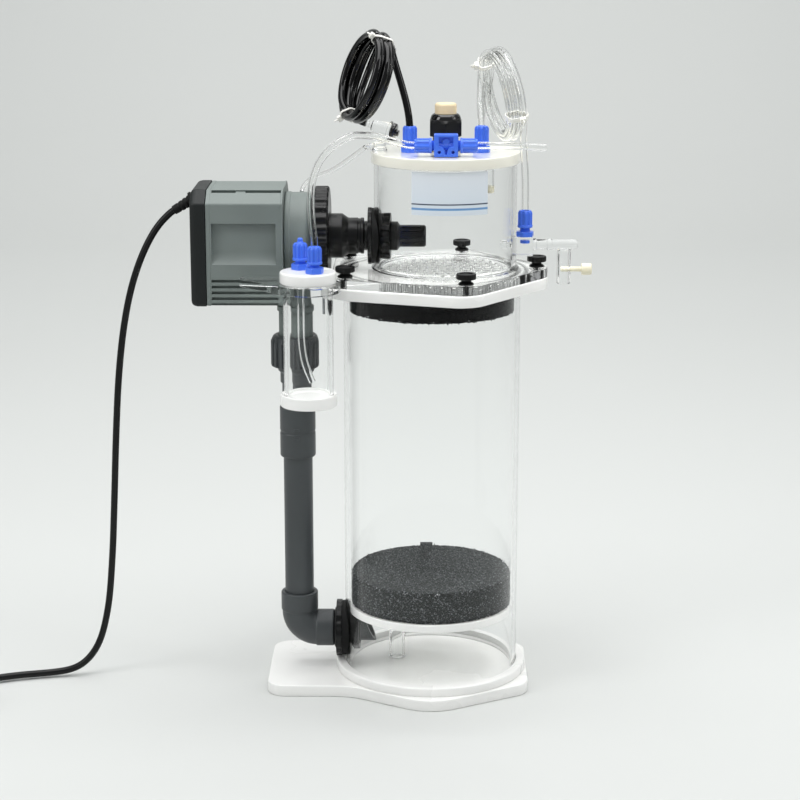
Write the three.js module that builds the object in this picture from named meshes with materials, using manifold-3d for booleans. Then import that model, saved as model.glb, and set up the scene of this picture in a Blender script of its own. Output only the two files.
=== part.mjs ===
// A recirculating calcium reactor for an aquarium. A clear reaction tube stands on a white base
// plate. A smaller clear chamber is bolted on top of it with thumb screws, and carries the pump,
// which draws from the chamber and pushes the water down a grey pipe into the foot of the tube.
// Millimetres, +Z up. The origin is on the reaction tube's axis, at the underside of the base.
// +X points away from the pump, and -Y is the front.
import * as THREE from 'three';
import { mergeVertices } from 'three/addons/utils/BufferGeometryUtils.js';
import Module from 'manifold-3d';

const wasm = await Module();
wasm.setup();

// Driving dimensions.
const GAP = 0.3; // clearance kept between neighbouring pieces
const TUBE = { r: 75, wall: 4 };
const BASE = { thick: 10, flat: 84, tabX: -141, tabY: 57, ringR: 82.7, ringTop: 17.8 };
const MEDIA = { bottom: 63, top: 70, r: 70.4 };
const LOWER_SPONGE = { r: 69.6, top: 98 };
const UPPER_SPONGE = { r: 69.9, bottom: 329.3, top: 354 };
const FLANGE = { bottom: 347.5, top: 357, apothem: 83.5, corner: 24 };
const EAR = { x: -85.3, y: -47, r: 6 };
const SEAL = { r: 79.7, section: 1.25, groove: 1.8, depth: 2.9 };
const PLATE_TOP = 365;
const CHAMBER = { x: 11, r: 60, wall: 4, top: 453.7 };
const LID = { r: 62.5, bottom: 454, top: 463.3 };
const SCREW = { circle: 88.4, shankR: 2.4, holeR: 2.8, headR: 8.1, footR: 6.3, shank: 17 };
const PIPE = { x: -115, r: 12.5, bore: 10 };
const INLET_Z = 43;
const PUMP_Z = 391.5; // height of the pump's axis, which runs along X through Y = 0
const COUNTER = { x: -101, y: -74, r: 20.4, wall: 3, bottom: 262.5, lidBottom: 364.7, lidTop: 374.4 };
const BRACKET = { bottom: 357.5, top: 364.4, boltX: -86.6, boltY: -47 };
const NUT = { r: 6.1, height: 14.2, threadR: 4.4, hoseHole: 3.35 };
const VALVE = { x: 11, y: -41, z: 472.4, halfX: 9.8, front: -47.1, back: -35 };
const SIDE = { x: 77.3, y: -18, armZ: 387.6, blockBottom: 378.4, blockTop: 394.3 };
const GLAND = { r: 11, collarR: 12.6 };
const HOSE_R = 3;
const AIR_HOSE_R = 2;

// Colours and finishes.
const material = (color, roughness, metalness = 0) =>
  new THREE.MeshStandardMaterial({ color, roughness, metalness });
const WHITE = material(0xf1f1ec, 0.45);
const CLEAR = material(0xdde6e6, 0.08);
const PVC = material(0x5b6166, 0.55);
const MOTOR_GREY = material(0x6a7272, 0.6);
const CHARCOAL = material(0x2c3032, 0.6);
const BLACK = material(0x161819, 0.5);
const BLUE = material(0x3f66d8, 0.4);
const FOAM = material(0x3a3d3f, 0.95);
const BLACK_FOAM = material(0x1c1e20, 0.95);
const CREAM = material(0xe9dcb8, 0.5);
const NYLON = material(0xf0ead2, 0.5);
const RUBBER = material(0x101112, 0.6);
const CERAMIC = material(0xf3f3f0, 0.3);
const MAGNET = material(0x35383a, 0.5);

// Turns a closed three.js geometry into a solid whose faces point out.
function toSolid(geometry) {
  const bare = geometry.clone();
  for (const name of Object.keys(bare.attributes)) {
    if (name !== 'position') bare.deleteAttribute(name);
  }
  const merged = mergeVertices(bare, 1e-4);
  const place = merged.attributes.position;
  const corner = (i) => new THREE.Vector3().fromBufferAttribute(place, i);
  const triangles = [];
  let volume = 0;
  for (let i = 0; i < merged.index.count; i += 3) {
    const [a, b, c] = [0, 1, 2].map((k) => merged.index.getX(i + k));
    if (a === b || b === c || a === c) continue;
    triangles.push([a, b, c]);
    volume += corner(a).dot(corner(b).cross(corner(c)));
  }
  const facing = volume < 0 ? triangles.map(([a, b, c]) => [a, c, b]) : triangles;
  const mesh = new wasm.Mesh({
    numProp: 3,
    vertProperties: Float32Array.from(place.array),
    triVerts: Uint32Array.from(facing.flat()),
  });
  return new wasm.Manifold(mesh);
}

// Turns a solid back into a named mesh.
function piece(name, solid, look) {
  const { vertProperties, triVerts } = solid.getMesh();
  const geometry = new THREE.BufferGeometry();
  geometry.setAttribute('position', new THREE.BufferAttribute(vertProperties, 3));
  geometry.setIndex(new THREE.BufferAttribute(triVerts, 1));
  geometry.computeVertexNormals();
  const mesh = new THREE.Mesh(geometry, look);
  mesh.name = name;
  return mesh;
}

const join = (...solids) => solids.reduce((a, b) => a.add(b));
const cut = (solid, ...tools) => tools.reduce((a, b) => a.subtract(b), solid);

// A cylinder or cone along Z, from z0 to z1.
function rod(r, z0, z1, sides = 24, rTop = r) {
  const geometry = new THREE.CylinderGeometry(rTop, r, z1 - z0, sides);
  geometry.rotateX(Math.PI / 2);
  geometry.translate(0, 0, (z0 + z1) / 2);
  return toSolid(geometry);
}

// A solid turned from a closed profile of [radius, height] points, about Z.
function turned(profile, sides = 24) {
  const closed = [...profile, profile[0]].map(([r, z]) => new THREE.Vector2(r, z));
  const geometry = new THREE.LatheGeometry(closed, sides);
  geometry.rotateX(Math.PI / 2);
  return toSolid(geometry);
}

// The same two about X, with heights read as places along X.
const toX = (solid) => solid.rotate([0, 90, 0]);
const rodX = (r, x0, x1, sides = 24, rEnd = r) => toX(rod(r, x0, x1, sides, rEnd));
const turnedX = (profile, sides = 24) => toX(turned(profile, sides));

function block(x0, x1, y0, y1, z0, z1) {
  const geometry = new THREE.BoxGeometry(x1 - x0, y1 - y0, z1 - z0);
  geometry.translate((x0 + x1) / 2, (y0 + y1) / 2, (z0 + z1) / 2);
  return toSolid(geometry);
}

// An outline whose corners [x, y, radius] are rounded, inward or outward, with arcs.
function rounded(corners, steps = 4) {
  const points = [];
  corners.forEach(([x, y, r = 0], i) => {
    const here = new THREE.Vector2(x, y);
    const last = new THREE.Vector2(...corners.at(i - 1).slice(0, 2));
    const next = new THREE.Vector2(...corners[(i + 1) % corners.length].slice(0, 2));
    const back = last.sub(here).normalize();
    const on = next.sub(here).normalize();
    if (r === 0) {
      points.push(here);
      return;
    }
    const half = Math.acos(THREE.MathUtils.clamp(back.dot(on), -1, 1)) / 2;
    const centre = here.clone().addScaledVector(back.clone().add(on).normalize(), r / Math.sin(half));
    const from = here.clone().addScaledVector(back, r / Math.tan(half)).sub(centre);
    const turn = Math.sign(from.cross(here.clone().sub(centre))) * (Math.PI - 2 * half);
    for (let k = 0; k <= steps; k += 1) {
      points.push(from.clone().rotateAround(new THREE.Vector2(), (turn * k) / steps).add(centre));
    }
  });
  return new THREE.Shape(points);
}

// A flat plate of an outline, from z0 to z1.
function slab(shape, z0, z1) {
  const geometry = new THREE.ExtrudeGeometry(shape, { depth: z1 - z0, bevelEnabled: false });
  geometry.translate(0, 0, z0);
  return toSolid(geometry);
}

// A round tube, solid inside, along a smooth curve through the points.
function alongCurve(points, r, steps, sides = 8) {
  const path = new THREE.CatmullRomCurve3(points.map((p) => new THREE.Vector3(...p)), false, 'centripetal');
  const ring = Array.from({ length: sides }, (_, k) => {
    const angle = (2 * Math.PI * k) / sides;
    return new THREE.Vector2(r * Math.cos(angle), r * Math.sin(angle));
  });
  const geometry = new THREE.ExtrudeGeometry(new THREE.Shape(ring), {
    extrudePath: path,
    steps,
    bevelEnabled: false,
  });
  return toSolid(geometry);
}

// Places of a hole pattern: rings of holes, six more in each ring, around a middle one.
function holeRings(rings, spacing) {
  const places = [[0, 0]];
  for (let ring = 1; ring <= rings; ring += 1) {
    for (let k = 0; k < 6 * ring; k += 1) {
      const angle = (2 * Math.PI * k) / (6 * ring);
      places.push([ring * spacing * Math.cos(angle), ring * spacing * Math.sin(angle)]);
    }
  }
  return places;
}

const screwAngles = Array.from({ length: 5 }, (_, k) => (2 * Math.PI * k) / 5);
const screwPlaces = screwAngles.map((a) => [SCREW.circle * Math.cos(a), SCREW.circle * Math.sin(a)]);

// The rounded pentagon of the body flange and the chamber plate, with a corner on +X.
function pentagon() {
  const reach = FLANGE.apothem / Math.cos(Math.PI / 5);
  return rounded(screwAngles.map((a) => [reach * Math.cos(a), reach * Math.sin(a), FLANGE.corner]), 6);
}

const screwHoles = (z0, z1) =>
  screwPlaces.map(([x, y]) => rod(SCREW.holeR, z0, z1, 10).translate([x, y, 0]));

// Base and reaction tube.
function basePlate() {
  const corner = BASE.flat / Math.cos(Math.PI / 6);
  const meetX = -(corner - BASE.tabY) / Math.tan(Math.PI / 6);
  const outline = rounded([
    [BASE.flat, -corner / 2, 16],
    [BASE.flat, corner / 2, 16],
    [0, corner, 30],
    [meetX, BASE.tabY, 26],
    [BASE.tabX, BASE.tabY, 16],
    [BASE.tabX, -BASE.tabY, 16],
    [meetX, -BASE.tabY, 26],
    [0, -corner, 30],
  ], 6);
  const inner = TUBE.r + GAP;
  const ring = turned([
    [inner, BASE.thick - 1],
    [BASE.ringR, BASE.thick - 1],
    [BASE.ringR, BASE.ringTop - 1.2],
    [BASE.ringR - 1.2, BASE.ringTop],
    [inner, BASE.ringTop],
  ], 40);
  return piece('base_plate', join(slab(outline, 0, BASE.thick), ring), WHITE);
}

function reactorTube() {
  const inner = TUBE.r - TUBE.wall;
  const [low, high] = [BASE.thick + GAP, FLANGE.top - GAP];
  const wall = turned([[inner, low], [TUBE.r, low], [TUBE.r, high], [inner, high]], 40);
  const port = rodX(14.5, -TUBE.r - 5, -inner + 5).translate([0, 0, INLET_Z]);
  return piece('reactor_tube', cut(wall, port), CLEAR);
}

function bodyFlange() {
  const thick = [FLANGE.bottom, FLANGE.top];
  const ear = rod(EAR.r, ...thick, 16).translate([EAR.x, EAR.y, 0]);
  const root = block(EAR.x, EAR.x + 12, EAR.y - EAR.r, EAR.y + EAR.r, ...thick);
  const grooveFloor = FLANGE.top - SEAL.depth;
  const [inside, outside] = [SEAL.r - SEAL.groove, SEAL.r + SEAL.groove];
  const groove = turned([
    [inside, grooveFloor],
    [outside, grooveFloor],
    [outside, FLANGE.top + 1],
    [inside, FLANGE.top + 1],
  ], 40);
  const tubeHole = rod(TUBE.r + GAP, FLANGE.bottom - 1, FLANGE.top + 1, 40);
  const boltHole = rod(2.5, FLANGE.bottom - 1, FLANGE.top + 1, 10);
  const holes = screwHoles(FLANGE.bottom - 1, FLANGE.top + 1);
  const solid = cut(
    join(slab(pentagon(), ...thick), ear, root),
    tubeHole,
    groove,
    boltHole.translate([BRACKET.boltX, BRACKET.boltY, 0]),
    ...holes,
  );
  return piece('body_flange', solid, WHITE);
}

function flangeSeal() {
  const mesh = piece('flange_o_ring', toSolid(new THREE.TorusGeometry(SEAL.r, SEAL.section, 5, 40)), RUBBER);
  mesh.position.z = FLANGE.top - SEAL.depth + GAP + SEAL.section;
  return mesh;
}

// The perforated plate that the media stands on, with its clear leg.
function mediaPlate() {
  const leg = turned([[5, BASE.thick + 2 * GAP], [7, BASE.thick + 2 * GAP], [7, 64], [5, 64]], 14);
  const holes = holeRings(2, 20).map(([x, y]) => rod(4.5, 60, 75, 6).translate([x, y, 0]));
  const disc = cut(rod(MEDIA.r, MEDIA.bottom, MEDIA.top, 36), ...holes);
  return piece('media_plate', join(disc, leg.translate([-30, 18, 0])), WHITE);
}

function sponge(name, r, z0, z1, look) {
  const edge = 1.5;
  const profile = [[0, z0], [r - edge, z0], [r, z0 + edge], [r, z1 - edge], [r - edge, z1], [0, z1]];
  return piece(name, turned(profile, 32), look);
}

// The inlet at the foot of the tube: a flanged tank connector, and a nozzle with its lock nut.
function inletBulkhead() {
  const body = turnedX([[9, -84.6], [18, -84.6], [18, -82.7], [24.8, -82.7], [24.8, -77], [14, -77],
    [14, -64], [9, -64]], 20);
  const saddle = cut(
    turnedX([[13, -78], [24, -78], [24, -69], [13, -69]], 20),
    rod(TUBE.r + GAP, -60, 60, 40),
  );
  const solid = join(body, saddle).translate([0, 0, INLET_Z]);
  return piece('inlet_bulkhead', solid, BLACK);
}

function inletNozzle() {
  const body = turnedX([[14.3, -67.8], [19.2, -67.8], [19.2, -62], [11, -62], [11, -48], [8, -48],
    [8, -63.4], [14.3, -63.4]], 18);
  const slant = block(0, 40, -20, 20, -40, 40).rotate([0, 25, 0]).translate([-53, 0, 0]);
  return piece('inlet_nozzle', cut(body, slant).translate([0, 0, INLET_Z]), PVC);
}

// Return pipework, from the foot up to the pump.
function elbow() {
  const socketR = 15.8;
  const outside = join(
    rod(socketR, 0, 34, 18),
    rodX(socketR, 0, 30, 18),
    toSolid(new THREE.SphereGeometry(socketR, 18, 9)),
  );
  const inside = join(rod(PIPE.bore, -1, 20), rod(PIPE.r + GAP, 17, 35), rodX(PIPE.bore, -2, 31));
  return piece('elbow', cut(outside, inside).translate([PIPE.x, 0, INLET_Z]), PVC);
}

function dischargePipe() {
  const low = INLET_Z + 17 + GAP;
  const [couplerLow, stop, couplerHigh] = [199.8, 221, 244.3];
  const profile = [[PIPE.bore, low], [PIPE.r, low], [PIPE.r, couplerLow], [15.2, couplerLow],
    [15.2, couplerHigh], [13.2, couplerHigh], [13.2, stop], [PIPE.bore, stop]];
  return piece('discharge_pipe', turned(profile, 18).translate([PIPE.x, 0, 0]), PVC);
}

function unionTail() {
  const profile = [[PIPE.bore, 221.4], [12.9, 221.4], [12.9, 264.5], [14.4, 265.5], [14.4, 281],
    [18.5, 281], [18.5, 294.2], [PIPE.bore, 294.2]];
  return piece('union_tail', turned(profile, 18).translate([PIPE.x, 0, 0]), PVC);
}

// A nut whose outside has grip ribs: a wavy outline with a turned hole.
function ribbed(r, depth, ribs, z0, z1) {
  const points = Array.from({ length: ribs * 4 }, (_, k) => {
    const radius = k % 4 < 2 ? r : r - depth;
    const angle = (2 * Math.PI * k) / (ribs * 4);
    return new THREE.Vector2(radius * Math.cos(angle), radius * Math.sin(angle));
  });
  return slab(new THREE.Shape(points), z0, z1);
}

function unionNut() {
  const hole = turned([[0, 279], [19, 279], [19, 302.2], [15.5, 302.2], [15.5, 308], [0, 308]]);
  const outside = ribbed(22.2, 0.9, 14, 280, 303).add(rod(21.4, 303, 306.6, 24, 18));
  const mesh = piece('union_nut', cut(outside, hole), PVC);
  mesh.position.x = PIPE.x;
  return mesh;
}

// Pump, turned about its own axis: local Z = 0 is the pump's axis.
function volute() {
  const left = -122.9;
  const bodyR = 37;
  const outletX = PIPE.x;
  const drop = (z) => z - PUMP_Z;
  const outside = join(
    turnedX([[0, left], [bodyR, left], [bodyR, -103], [33, -99.5], [30, -99.5], [30, -92.1],
      [0, -92.1]], 26),
    rod(11.5, drop(330), drop(360), 20).translate([-111.2, 0, 0]),
    rod(16.2, drop(327.5), drop(331.8), 20).translate([outletX, 0, 0]),
    rod(15, drop(301), drop(328), 20).translate([outletX, 0, 0]),
    rod(18, drop(294.6), drop(301.9), 20).translate([outletX, 0, 0]),
    rod(2.4, 30, 44.5, 10).rotate([-45, 0, 0]).translate([-111, 0, 0]),
  );
  const inside = join(
    turnedX([[0, left - 1], [14.5, left - 1], [14.5, -119.5], [29, -119.5], [29, -103],
      [14, -103], [14, -90], [0, -90]], 20),
    rod(9.5, drop(290), drop(331), 16).translate([outletX, 0, 0]),
    rod(8.2, drop(330), drop(370), 16).translate([-111.2, 0, 0]),
  );
  return piece('volute', cut(outside, inside), MOTOR_GREY);
}

// The motor's section, seen along X: flat top, long chamfers to the sides.
const MOTOR = { half: 42, bottom: -52.5, shoulder: 32.8, top: 42.3, flatTop: 27 };
function motorSection(grow = 0) {
  const { half, bottom, shoulder, top, flatTop } = MOTOR;
  return rounded([
    [half + grow, bottom - grow, 3],
    [half + grow, shoulder, 1.5],
    [flatTop + grow / 2, top + grow, 1.5],
    [-flatTop - grow / 2, top + grow, 1.5],
    [-half - grow, shoulder, 1.5],
    [-half - grow, bottom - grow, 3],
  ], 2);
}

// Lays a section drawn in (Y, Z) along X, from x0 to x1.
const alongX = (shape, x0, x1) => slab(shape, x0, x1).rotate([90, 0, 90]);

function motorHousing() {
  const [x0, x1] = [-186.8, -123.2];
  const body = alongX(motorSection(), x0, x1);
  const rotorWell = turnedX([[0, -175], [2.6, -175], [2.6, -170], [14.5, -170], [14.5, -122],
    [0, -122]], 24);
  const fins = [];
  for (const side of [-1, 1]) {
    for (let k = 0; k < 5; k += 1) {
      const z = MOTOR.bottom + 4 + 5.6 * k;
      const [a, b] = [side * (MOTOR.half + 1), side * (MOTOR.half - 2)];
      fins.push(block(x0 + 4, x1 - 4, Math.min(a, b), Math.max(a, b), z, z + 2.6));
    }
    const panel = block(x0 + 3, x1 - 6, -1.5, 1.5, -17, 17);
    fins.push(panel.translate([0, side * MOTOR.half, 0]));
  }
  return piece('motor_housing', cut(body, rotorWell, ...fins), MOTOR_GREY);
}

function rearCover() {
  const bevel = 5;
  const geometry = new THREE.ExtrudeGeometry(motorSection(-bevel + 0.8), {
    depth: 14,
    bevelThickness: bevel,
    bevelSize: bevel,
    bevelSegments: 2,
  });
  const solid = toSolid(geometry).rotate([90, 0, 90]).translate([-200 + bevel, 0, 0]);
  return piece('rear_cover', cut(solid, block(-187.1, -150, -80, 80, -80, 80)), CHARCOAL);
}

function rotor() {
  const hub = turnedX([[2.4, -166], [12.4, -166], [12.4, -124], [8, -122], [8, -118], [22, -118],
    [22, -115.6], [6, -115.6], [6, -106], [2.4, -106]], 20);
  const blades = Array.from({ length: 6 }, (_, k) =>
    block(-116, -107, 4, 21, -1, 1).rotate([60 * k, 0, 0]));
  return piece('rotor', join(hub, ...blades), MAGNET);
}

const rotorShaft = () => piece('rotor_shaft', rodX(2, -174.6, -101, 10), CERAMIC);

function pumpInletNut() {
  const outside = ribbed(41.7, 1.4, 18, -98.6, -86);
  const hole = turned([[0, -99], [30.4, -99], [30.4, -89.5], [20.2, -89.5], [20.2, -85], [0, -85]]);
  return piece('pump_inlet_nut', toX(cut(outside, hole)), BLACK);
}

function suctionReducer() {
  const profile = [[10.5, -91.8], [29.6, -91.8], [29.6, -89.8], [19.2, -89.8], [19.2, -74.5],
    [15.2, -71], [15.2, -57.3], [10.5, -57.3]];
  return piece('suction_reducer', turnedX(profile, 18), BLACK);
}

function suctionBulkhead() {
  const body = turnedX([[8.5, -57], [12.4, -57], [12.4, -54], [24, -54], [24, -50.4], [12, -50.4],
    [12, -36.4], [8.5, -36.4]], 24);
  const saddle = cut(
    turnedX([[11, -51], [23.4, -51], [23.4, -42], [11, -42]], 24),
    rod(CHAMBER.r + GAP, -60, 60, 40).translate([CHAMBER.x, 0, 0]),
  );
  return piece('suction_bulkhead', join(body, saddle), BLACK);
}

const suctionNut = () =>
  piece('suction_nut', toX(cut(ribbed(18.4, 1.4, 12, -41.2, -35), rod(12.3, -45, -30, 20))), BLACK);

// The intake strainer: a cup on the connector, then a narrow slotted nose.
function suctionStrainer() {
  const nose = turnedX([[6.5, -34.7], [12.2, -34.7], [12.2, -28.7], [9.2, -27.5], [9.2, -6],
    [8, -5.1], [0, -5.1], [0, -7.5], [6.5, -7.5]], 16);
  const slots = Array.from({ length: 3 }, (_, k) =>
    block(-24, -11, -12, 12, -1.5, 1.5).rotate([60 * k, 0, 0]));
  return piece('suction_strainer', cut(nose, ...slots), BLACK);
}

function cordRelief() {
  const cone = rod(4.8, -4, 20, 14, 3.5).rotate([0, -121.1, 0]).translate([-200, 0, 31.5]);
  return piece('cord_relief', cut(cone, block(-200 + GAP / 2 - GAP, -180, -20, 20, 0, 60)), RUBBER);
}

// Upper chamber.
function chamberPlate() {
  const [low, high] = [FLANGE.top + GAP, PLATE_TOP];
  const drain = holeRings(2, 20).map(([x, y]) =>
    rod(2.8, low - 1, high + 1, 6).translate([x + CHAMBER.x, y, 0]));
  const holes = screwHoles(low - 1, high + 1);
  return piece('chamber_plate', cut(slab(pentagon(), low, high), ...drain, ...holes), CLEAR);
}

function chamberTube() {
  const { x, r, wall, top } = CHAMBER;
  const low = PLATE_TOP + GAP;
  const ring = turned([[r - wall, low], [r, low], [r, top], [r - wall, top]], 36);
  const suction = rodX(12.4, -70, -20).translate([-x, 0, PUMP_Z]);
  const returnHole = rodX(3.8, 30, 70, 12).translate([0, SIDE.y, SIDE.armZ]);
  return piece('chamber_tube', cut(ring, suction, returnHole).translate([x, 0, 0]), CLEAR);
}

// A hexagonal seat with a threaded stub, for a compression nut. It stands on local Z = 0.
function nutSeat(hexHeight = 4.6) {
  return join(rod(7, 0, hexHeight, 6), rod(NUT.threadR, hexHeight - 1, hexHeight + 11, 12));
}

const NUT_LIFT = 7.4; // from the face that a seat stands on to the underside of its nut
const LID_PORTS = { left: [-18.7, -10], right: [40.8, -10] };

function chamberLid() {
  const disc = rod(LID.r, LID.bottom, LID.top, 40).translate([CHAMBER.x, 0, 0]);
  const glandHole = rod(10.1, LID.bottom - 1, LID.top + 1).translate([CHAMBER.x, 0, 0]);
  const seats = Object.values(LID_PORTS).map(([x, y]) => nutSeat().translate([x, y, LID.top - 0.01]));
  const dropTube = rod(3.8, 428, LID.bottom + 1, 12).translate([48, 0, 0]);
  const hoseElbow = join(
    rod(5, LID.top - 1, LID.top + 7, 14),
    rod(2.6, 0, 11.5, 10).rotate([0, -97, 0]).translate([0, 0, LID.top + 4.2]),
  ).translate([-44, 0, 0]);
  return piece('chamber_lid', join(cut(disc, glandHole), ...seats, dropTube, hoseElbow), WHITE);
}

// A hose compression nut, standing on local Z = 0, with its hose hole on top.
function compressionNut(name) {
  const { r, height, threadR, hoseHole } = NUT;
  const profile = [[threadR + GAP, 0], [r, 0], [r, height - 1.5], [r - 1.2, height], [hoseHole, height],
    [hoseHole, height - 3.5], [threadR + GAP, height - 3.5]];
  return piece(name, turned(profile, 12), BLUE);
}

function uprightNut(name, x, y, z) {
  const mesh = compressionNut(name);
  mesh.position.set(x, y, z + NUT_LIFT);
  return mesh;
}

function sidewaysNut(name, x, side) {
  const mesh = compressionNut(name);
  mesh.position.set(x, VALVE.y, VALVE.z);
  mesh.rotation.y = (side * Math.PI) / 2;
  return mesh;
}

function thumbScrew(number, [x, y]) {
  const { shankR, footR, headR, shank } = SCREW;
  const profile = [[0, -shank], [shankR, -shank], [shankR, 0], [footR, 0], [footR, 1.3], [3.9, 2.6],
    [3.9, 4.4], [headR, 4.6], [headR, 8.6], [headR - 0.6, 9.2], [5.4, 9.2], [4.8, 8.4], [0, 8.4]];
  const mesh = piece(`thumb_screw_${number}`, turned(profile, 10), BLACK);
  mesh.position.set(x, y, PLATE_TOP + GAP);
  return mesh;
}

// The probe gland in the middle of the lid.
function glandBody() {
  const { r, collarR } = GLAND;
  const top = LID.top;
  const bore = 7;
  const profile = [[bore, top - 14], [9.8, top - 14], [9.8, top + GAP], [collarR, top + GAP],
    [collarR, top + 5], [r, top + 6], [r, top + 19], [bore, top + 19]];
  return piece('gland_body', turned(profile, 20).translate([CHAMBER.x, 0, 0]), BLACK);
}

function glandNut() {
  const dome = turned([[0, 488], [13, 488], [12.4, 491.5], [9.9, 494.5], [0, 494.5]], 20);
  const hole = turned([[0, 470], [GLAND.r + GAP, 470], [GLAND.r + GAP, 483], [9.5, 483],
    [9.5, 500], [0, 500]], 20);
  const mesh = piece('gland_nut', cut(rod(14.2, 475.7, 489, 6).add(dome), hole), BLACK);
  mesh.position.x = CHAMBER.x;
  return mesh;
}

function glandPlug() {
  const mesh = piece('gland_plug', rod(9.1, 483.4, 501.6, 18).add(rod(9.1, 501, 502.8, 18, 8)), CREAM);
  mesh.position.x = CHAMBER.x;
  return mesh;
}

// The inline valve block at the front of the lid, with a threaded stub at each side.
function valveBlock() {
  const { x, y, z, halfX, front, back } = VALVE;
  const [low, high] = [LID.top + GAP, 481.8];
  const body = block(x - halfX, x + halfX, front, back, low, high);
  const face = block(x - 5.7, x + 5.7, front - 1, front + 2.5, low + 5, high - 2.4);
  const stub = rodX(NUT.threadR, x - halfX - 11, x + halfX + 11, 12).translate([0, y, z]);
  return piece('valve_block', cut(body, face).add(stub), BLUE);
}

// Side outlet: a clear block on the chamber wall, an arm, and the hose holder at its end.
function sideManifold() {
  const { x, y, armZ, blockBottom, blockTop } = SIDE;
  const holderX = 110;
  const body = cut(
    block(60, 84, y - 6.5, y + 6.5, blockBottom, blockTop),
    rod(CHAMBER.r + GAP, 300, 500, 36).translate([CHAMBER.x, 0, 0]),
  );
  const inner = rodX(3.4, 56.6, 75, 12).translate([0, y, armZ]);
  const arm = rodX(4, 80, 118, 14).translate([0, y, armZ]);
  const armEnd = toSolid(new THREE.SphereGeometry(4, 14, 8)).translate([118, y, armZ]);
  const holder = rod(5.7, 354.5, 386, 16).translate([holderX, y, 0]);
  const seat = nutSeat(4).translate([x, y, blockTop - 0.01]);
  const bore = rod(4, 350, 381, 14).translate([holderX, y, 0]);
  const screwHole = rodX(2.6, holderX, holderX + 10, 10).translate([0, y, 366.5]);
  const solid = cut(join(body, inner, arm, armEnd, holder, seat), bore, screwHole);
  return piece('side_manifold', solid, CLEAR);
}

function nylonScrew() {
  const solid = turnedX([[0, 107.4], [2.2, 107.4], [2.2, 124.8], [4.9, 125], [4.9, 132.6],
    [4.2, 133.4], [0, 133.4]], 14);
  const mesh = piece('nylon_screw', solid, NYLON);
  mesh.position.set(0, SIDE.y, 366.5);
  return mesh;
}

// Bubble counter at the front left, held in a clear bracket.
const COUNTER_PORTS = { front: [6, -9.5], rear: [-6.5, 9] };

function counterLid() {
  const { lidBottom, lidTop } = COUNTER;
  const disc = rod(23, lidBottom, lidTop, 28);
  const seats = Object.values(COUNTER_PORTS).map(([x, y]) => nutSeat(4.8).translate([x, y, lidTop - 0.01]));
  const dipTube = alongCurve([[-6.5, 9, lidBottom + 2], [-6.5, 8, 335], [-6, 7, 312], [-3, 4, 296],
    [3, 0, 282]], 2.6, 12);
  const solid = join(disc, ...seats, dipTube).translate([COUNTER.x, COUNTER.y, 0]);
  return piece('counter_lid', solid, WHITE);
}

function counterBody() {
  const { x, y, r, wall, bottom, lidBottom } = COUNTER;
  const floor = bottom + 10;
  const profile = [[0, bottom], [23.4, bottom], [23.4, floor], [r, floor], [r, lidBottom - GAP],
    [r - wall, lidBottom - GAP], [r - wall, floor - 2], [0, floor - 2]];
  return piece('counter_body', turned(profile, 28).translate([x, y, 0]), CLEAR);
}

function counterBracket() {
  const { bottom, top, boltX, boltY } = BRACKET;
  const { x, y, r } = COUNTER;
  const ringR = 26.6;
  const arm = slab(rounded([
    [boltX, -43.8, 0],
    [-157, -43.8, 3],
    [-159, -52, 4],
    [x - 19, y - 19, 0],
    [boltX, y + 14, 0],
  ]), bottom, top);
  const lug = rod(3.2, bottom, top, 12).translate([boltX, boltY, 0]);
  const bolt = join(rod(1.9, 333.5, top, 10), rod(3.2, top - 0.5, top + 3, 12));
  const ring = rod(ringR, bottom, top, 32).translate([x, y, 0]);
  const hole = rod(r + 0.5, bottom - 1, top + 1, 28).translate([x, y, 0]);
  const solid = cut(join(ring, arm, lug), hole).add(bolt.translate([boltX, boltY, 0]));
  return piece('counter_bracket', solid, CLEAR);
}

// Hoses and the mains lead.
const HOSE_IN = 6.9; // from the face that a seat stands on, past its stub, to where the hose starts
const counterPort = (name) => COUNTER_PORTS[name].map((v, i) => v + [COUNTER.x, COUNTER.y][i]);

function counterHose() {
  const [x, y] = counterPort('front');
  const route = [[-10.5, -41, 472.4], [-20, -41.3, 473], [-28, -42, 474.8], [-37, -43, 477.5],
    [-46, -44, 480.1], [-55, -46, 481.3], [-63, -48, 481.5], [-71, -51.5, 479.2], [-81.4, -56.5, 473],
    [-90.5, -62, 463], [-96.5, -68, 448], [-98, -73, 432], [-97, -78, 416], [-95.3, -82, 402],
    [x, y, 391.5]];
  return piece('counter_hose', alongCurve(route, HOSE_R - 0.2, 28), CLEAR);
}

function pumpHose() {
  const route = [[-57.2, 0.3, 465.4], [-62, 4, 461], [-69, 9, 455.5], [-78, 17, 447.5], [-87.5, 26.5, 439],
    [-97, 35, 432.5], [-105, 38.5, 429.5], [-110, 36.5, 426.5], [-111, 31.9, 423.4]];
  return piece('pump_hose', alongCurve(route, AIR_HOSE_R, 24), CLEAR);
}

function stubHose() {
  const route = [[32.5, -41, 472.4], [50, -41, 472.4], [70, -41, 472], [93, -41, 471]];
  return piece('stub_hose', alongCurve(route, HOSE_R - 0.2, 8), CLEAR);
}

function blackHose() {
  const route = [[-18.7, -10, 479.7], [-18.7, -10, 487], [-20, -9.6, 497], [-23, -8, 509],
    [-26.5, -5.5, 521], [-31, -2.5, 535]];
  return piece('black_hose', alongCurve(route, HOSE_R, 14), BLACK);
}

function clearHose() {
  const route = [[40.8, -10, 479.7], [40.8, -9.9, 487], [40.3, -6, 497], [39.6, 1.5, 508],
    [39.2, 9, 518], [39, 14.5, 527]];
  return piece('clear_hose', alongCurve(route, HOSE_R, 12), CLEAR);
}

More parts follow.
